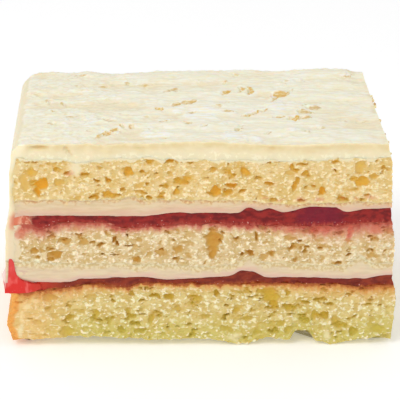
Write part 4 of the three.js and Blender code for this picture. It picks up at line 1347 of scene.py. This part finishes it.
upper_jam = filling(
    "upper_jam", jam_upper_base, cream_upper_base, jam_relief, **BEHIND_BUTTERCREAM
)
upper_jam.data.materials.append(UPPER_JAM)
settle(upper_jam, "jam_upper")
upper_cream = filling(
    "upper_cream", cream_upper_base, sponge_top_base, cream_relief, **BEHIND_BUTTERCREAM
)
upper_cream.data.materials.append(UPPER_CREAM)
settle(upper_cream, "cream_upper")
lower_cream = filling(
    "lower_cream", cream_lower_base, sponge_middle_base, cream_relief, **IN_THE_OPEN
)
lower_cream.data.materials.append(LOWER_CREAM)
settle(lower_cream, "cream_lower")

# %% The lip of jam
# The outline of its section, as [x, rise above the underside of the jam].
LIP_OUTLINE = [
    (-49.9, 0), (-49.9, 0.1), (-49.4, 1.4), (-49, 2.5), (-48.9, 4.4), (-48.8, 7), (-48.8, 9.3),
    (-48.1, 9.4), (-47.7, 9), (-47.4, 8.2), (-47.3, 6.5), (-46.9, 5.2), (-46.2, 4.3), (-45.4, 3.5),
    (-44.3, 2.8), (-42.6, 2.4), (-40.8, 2), (-40.6, 0.2), (-49.8, -0.1),
]
LIP_LENGTH, LIP_SECTIONS = 34, 110
LIP_PROUD = 0.15  # it stands this far before the cream that it covers
LIP_BACK_HEIGHT = 0.3  # share of its height that is left at the back
WING_REACH, WING_RISE, WING_PLACE, WING_SPAN = 2, 3, FRONT + 5, 2.6  # a flap of it, at the left


def rounded(outline, times):
    """A closed outline with its corners cut again and again, which leaves a smooth curve."""
    for _ in range(times):
        after = np.roll(outline, -1, axis=0)
        outline = np.stack([lerp(outline, after, 0.25), lerp(outline, after, 0.75)], 1)
        outline = outline.reshape(-1, 2)
    return outline


def lip():
    """The squeezed-out jam, a closed body of sections from the cut front backwards."""
    section = rounded(np.array(LIP_OUTLINE), 2)
    along = np.linspace(0, 1, LIP_SECTIONS)[:, None]
    y = FRONT + CUT_INSET - LIP_PROUD + along * LIP_LENGTH + 0 * section[:, 0]
    x, rise = section[:, 0] + 0 * y, section[:, 1] + 0 * y
    height = lerp(1, LIP_BACK_HEIGHT, smoothstep(along, 0.1, 1))
    off_wing = np.hypot(y - WING_PLACE, rise - WING_RISE) / WING_SPAN
    wing = WING_REACH * np.exp(-(off_wing**1.6)) * (x < -47.6)
    z = jam_lower_base(x, FRONT + 0 * y) + rise * height + 0.12 * noise(y / 1.8, rise / 1.5, 75)
    x = x - wing + 0.14 * noise(y / 1.6, rise / 1.4, 76) * (along > 0.01)
    points = with_ends(np.stack([x, y, z], -1))
    return make_mesh("lip", points, stack_faces(*y.shape), {})


def lip_numbers(x, y, z):
    """How much a place belongs to the lip, and its height above the jam's underside."""
    near_left = smoothstep(-34 - x, 0, 7) * smoothstep(FRONT + LIP_LENGTH + 2 - y, 0, 4)
    rise, drop = z - jam_lower_base(x, y), cream_lower_base(x, y) - z
    wing = smoothstep(-49.4 - x, 0, 0.8) * smoothstep(rise, 0.8, 2)
    return {"lip": near_left, "wing": wing, "rise": rise, "drop": np.maximum(0, drop)}


lower_jam = filling(
    "lower_jam", jam_lower_base, cream_lower_base, jam_relief, **IN_THE_OPEN
)
for key in ("rise", "drop"):
    lower_jam.data.attributes.remove(lower_jam.data.attributes[key])
combine(lower_jam, lip(), "UNION")
store_numbers(lower_jam, lip_numbers)
lower_jam.data.materials.append(LOWER_JAM)
settle(lower_jam, "jam_lower")

# %% [markdown]
# ## Loose crumbs
# A knife leaves a few crumbs along the edges it drags over. They are scattered on thin strips by a
# node tree: each point gets a small ball of twenty faces, turned and scaled at random, and a noise
# then pushes the corners about so that no two are alike. Mesh at true size is used, since they show
# as lumps against the background. Only a few dozen are needed.

# %% The crumbs
CRUMB_STRIPS = [  # corners in millimetres: two along the cut edge, and two above them
    [(46.9, -5, 54.2), (46.9, 8, 54.4), (46.5, 8, 55.4), (46.5, -5, 55.2)],
    [(47.45, -31, 50.2), (47.35, 16, 50.6), (46.8, 16, 54.4), (46.8, -31, 53.9)],
    [(48.9, -31, 2.2), (48.9, 24, 2.2), (49.4, 24, 9), (49.4, -31, 9)],
]
CROWDS = [7, 1, 0.6]  # how densely the crumbs lie on each strip
CRUMB_INPUTS = {"Per square metre": 120000.0, "Smallest": 0.00015, "Largest": 0.0005, "Seed": 5}
LUMP_SIZE, LUMP_PUSH = 0.0004, 0.0005  # metres, of the noise that makes a crumb uneven
BALL_FACES = 20
ANY_TURN = (6.3, 6.3, 6.3)  # radians, the most that a crumb is turned about each axis


def crumbs_tree():
    """Scatters balls over the strips, turns and scales them, and makes them uneven."""
    tree, g, given = started_tree("Loose crumbs", CRUMB_INPUTS)
    seed, density = given("Seed"), given("Per square metre") * known(g, "crowd")
    points = g.wire(
        "GeometryNodeDistributePointsOnFaces",
        {"distribute_method": "RANDOM"},
        {"Mesh": given("Geometry"), "Density": density, "Seed": seed},
    )
    ball = g.wire("GeometryNodeMeshIcoSphere", None, {"Radius": 1.0, "Subdivisions": 1})
    turns = {1: ANY_TURN, "Seed": seed}
    turn = g.wire("FunctionNodeRandomValue", {"data_type": "FLOAT_VECTOR"}, turns)
    sizes = {2: given("Smallest"), 3: given("Largest"), "Seed": seed}
    size = g.wire("FunctionNodeRandomValue", {"data_type": "FLOAT"}, sizes, 1)
    placing = {"Points": points, "Instance": ball, "Rotation": turn, "Scale": size}
    placed = g.wire("GeometryNodeInstanceOnPoints", None, placing)
    real = g.wire("GeometryNodeRealizeInstances", None, {"Geometry": placed})
    place = g.wire("GeometryNodeInputPosition")
    push = (g.noise(place, LUMP_SIZE, 1, 1) - HALVES) * LUMP_PUSH
    moved = g.wire("GeometryNodeSetPosition", None, {"Geometry": real, "Offset": push})
    done = g.wire("GeometryNodeSetMaterial", None, {"Geometry": moved, "Material": given("Finish")})
    g.node("NodeGroupOutput", None, {0: done})
    return tree


def loose_finish():
    material, g, shader = finish("loose crumb", 0.75, 0.3, 0.6)
    shade = g.step(g.noise(in_millimetres(g), 3, 2), 0.4, 0.6)
    feed(g, shader, "Base Color", g.mix(shade, colour(238, 220, 172), colour(190, 146, 96)))
    return material


corners = np.array(CRUMB_STRIPS, float).reshape(-1, 3)
strips = [tuple(range(i, i + 4)) for i in range(0, len(corners), 4)]
crumbs = make_mesh("crumbs", corners, strips, {"crowd": np.repeat(CROWDS, 4)})
run_nodes(crumbs, crumbs_tree(), {**CRUMB_INPUTS, "Finish": loose_finish()})
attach(crumbs, "root")
print("crumbs", len(crumbs.data.polygons) // BALL_FACES)

# %% [markdown]
# ## Floor, light and camera
# The cake stands on a plain white floor in soft light from above and in front, so that the cut face
# is nearly as bright as the top. The camera stands half a metre away and looks 20 degrees down.

# %% Floor and lights
FLOOR_SIZE = 8

bpy.ops.mesh.primitive_plane_add(size=FLOOR_SIZE, location=(0, 0, 0))
floor = bpy.context.object
floor.name = "floor"
white, _, white_shader = finish("floor white", 0.9, 0.0, 1.0)
white_shader.inputs["Base Color"].default_value = colour(250, 250, 250)
white_shader.inputs["Emission Color"].default_value = (1, 1, 1, 1)
white_shader.inputs["Emission Strength"].default_value = 0.2
floor.data.materials.append(white)


def softbox(name, place, target, size, power):
    light = bpy.data.lights.new(name, "AREA")
    light.shape, light.size, light.energy = "DISK", size, power
    lamp = bpy.data.objects.new(name, light)
    lamp.location = place
    lamp.rotation_mode = "QUATERNION"
    lamp.rotation_quaternion = (Vector(place) - Vector(target)).to_track_quat("Z", "Y")
    bpy.context.scene.collection.objects.link(lamp)
    return lamp


middle = Vector((0, 0, 0.03))
softbox("key light", (-0.5, -0.7, 0.9), middle, 0.6, 4.4)
softbox("front fill", (0.3, -1.1, 0.35), middle, 0.8, 0.8)

world = bpy.data.worlds.new("studio")
world.use_nodes = True
bpy.context.scene.world = world
sky = Graph(world.node_tree)
background = sky.node("ShaderNodeBackground", None, {"Color": (1, 1, 1, 1), "Strength": 0.7})
sky.tree.links.new(background.outputs[0], sky.node("ShaderNodeOutputWorld").inputs[0])
bpy.context.scene.view_settings.view_transform = "Standard"

# %% Camera
CAMERA_PLACE = Vector((-0.017101, -0.507514, 0.212845))
LOOK_DOWN, LOOK_ASIDE, TILT = (math.radians(a) for a in (20, 2.1, 0.5))
SENSOR_WIDTH, LENS_LENGTH = 36, 181.25  # millimetres

level, sink = math.cos(LOOK_DOWN), -math.sin(LOOK_DOWN)
forward = Vector((math.sin(LOOK_ASIDE) * level, math.cos(LOOK_ASIDE) * level, sink))
level_right = Vector((math.cos(LOOK_ASIDE), -math.sin(LOOK_ASIDE), 0))
level_up = level_right.cross(forward)
right = level_right * math.cos(TILT) + level_up * math.sin(TILT)
up = level_up * math.cos(TILT) - level_right * math.sin(TILT)

lens = bpy.data.cameras.new("camera")
lens.sensor_width, lens.lens = SENSOR_WIDTH, LENS_LENGTH
lens.clip_start, lens.clip_end = 0.01, 20
camera = bpy.data.objects.new("camera", lens)
bpy.context.scene.collection.objects.link(camera)
turned = Matrix((right, up, -forward)).transposed().to_4x4()
camera.matrix_world = Matrix.Translation(CAMERA_PLACE) @ turned
bpy.context.scene.camera = camera
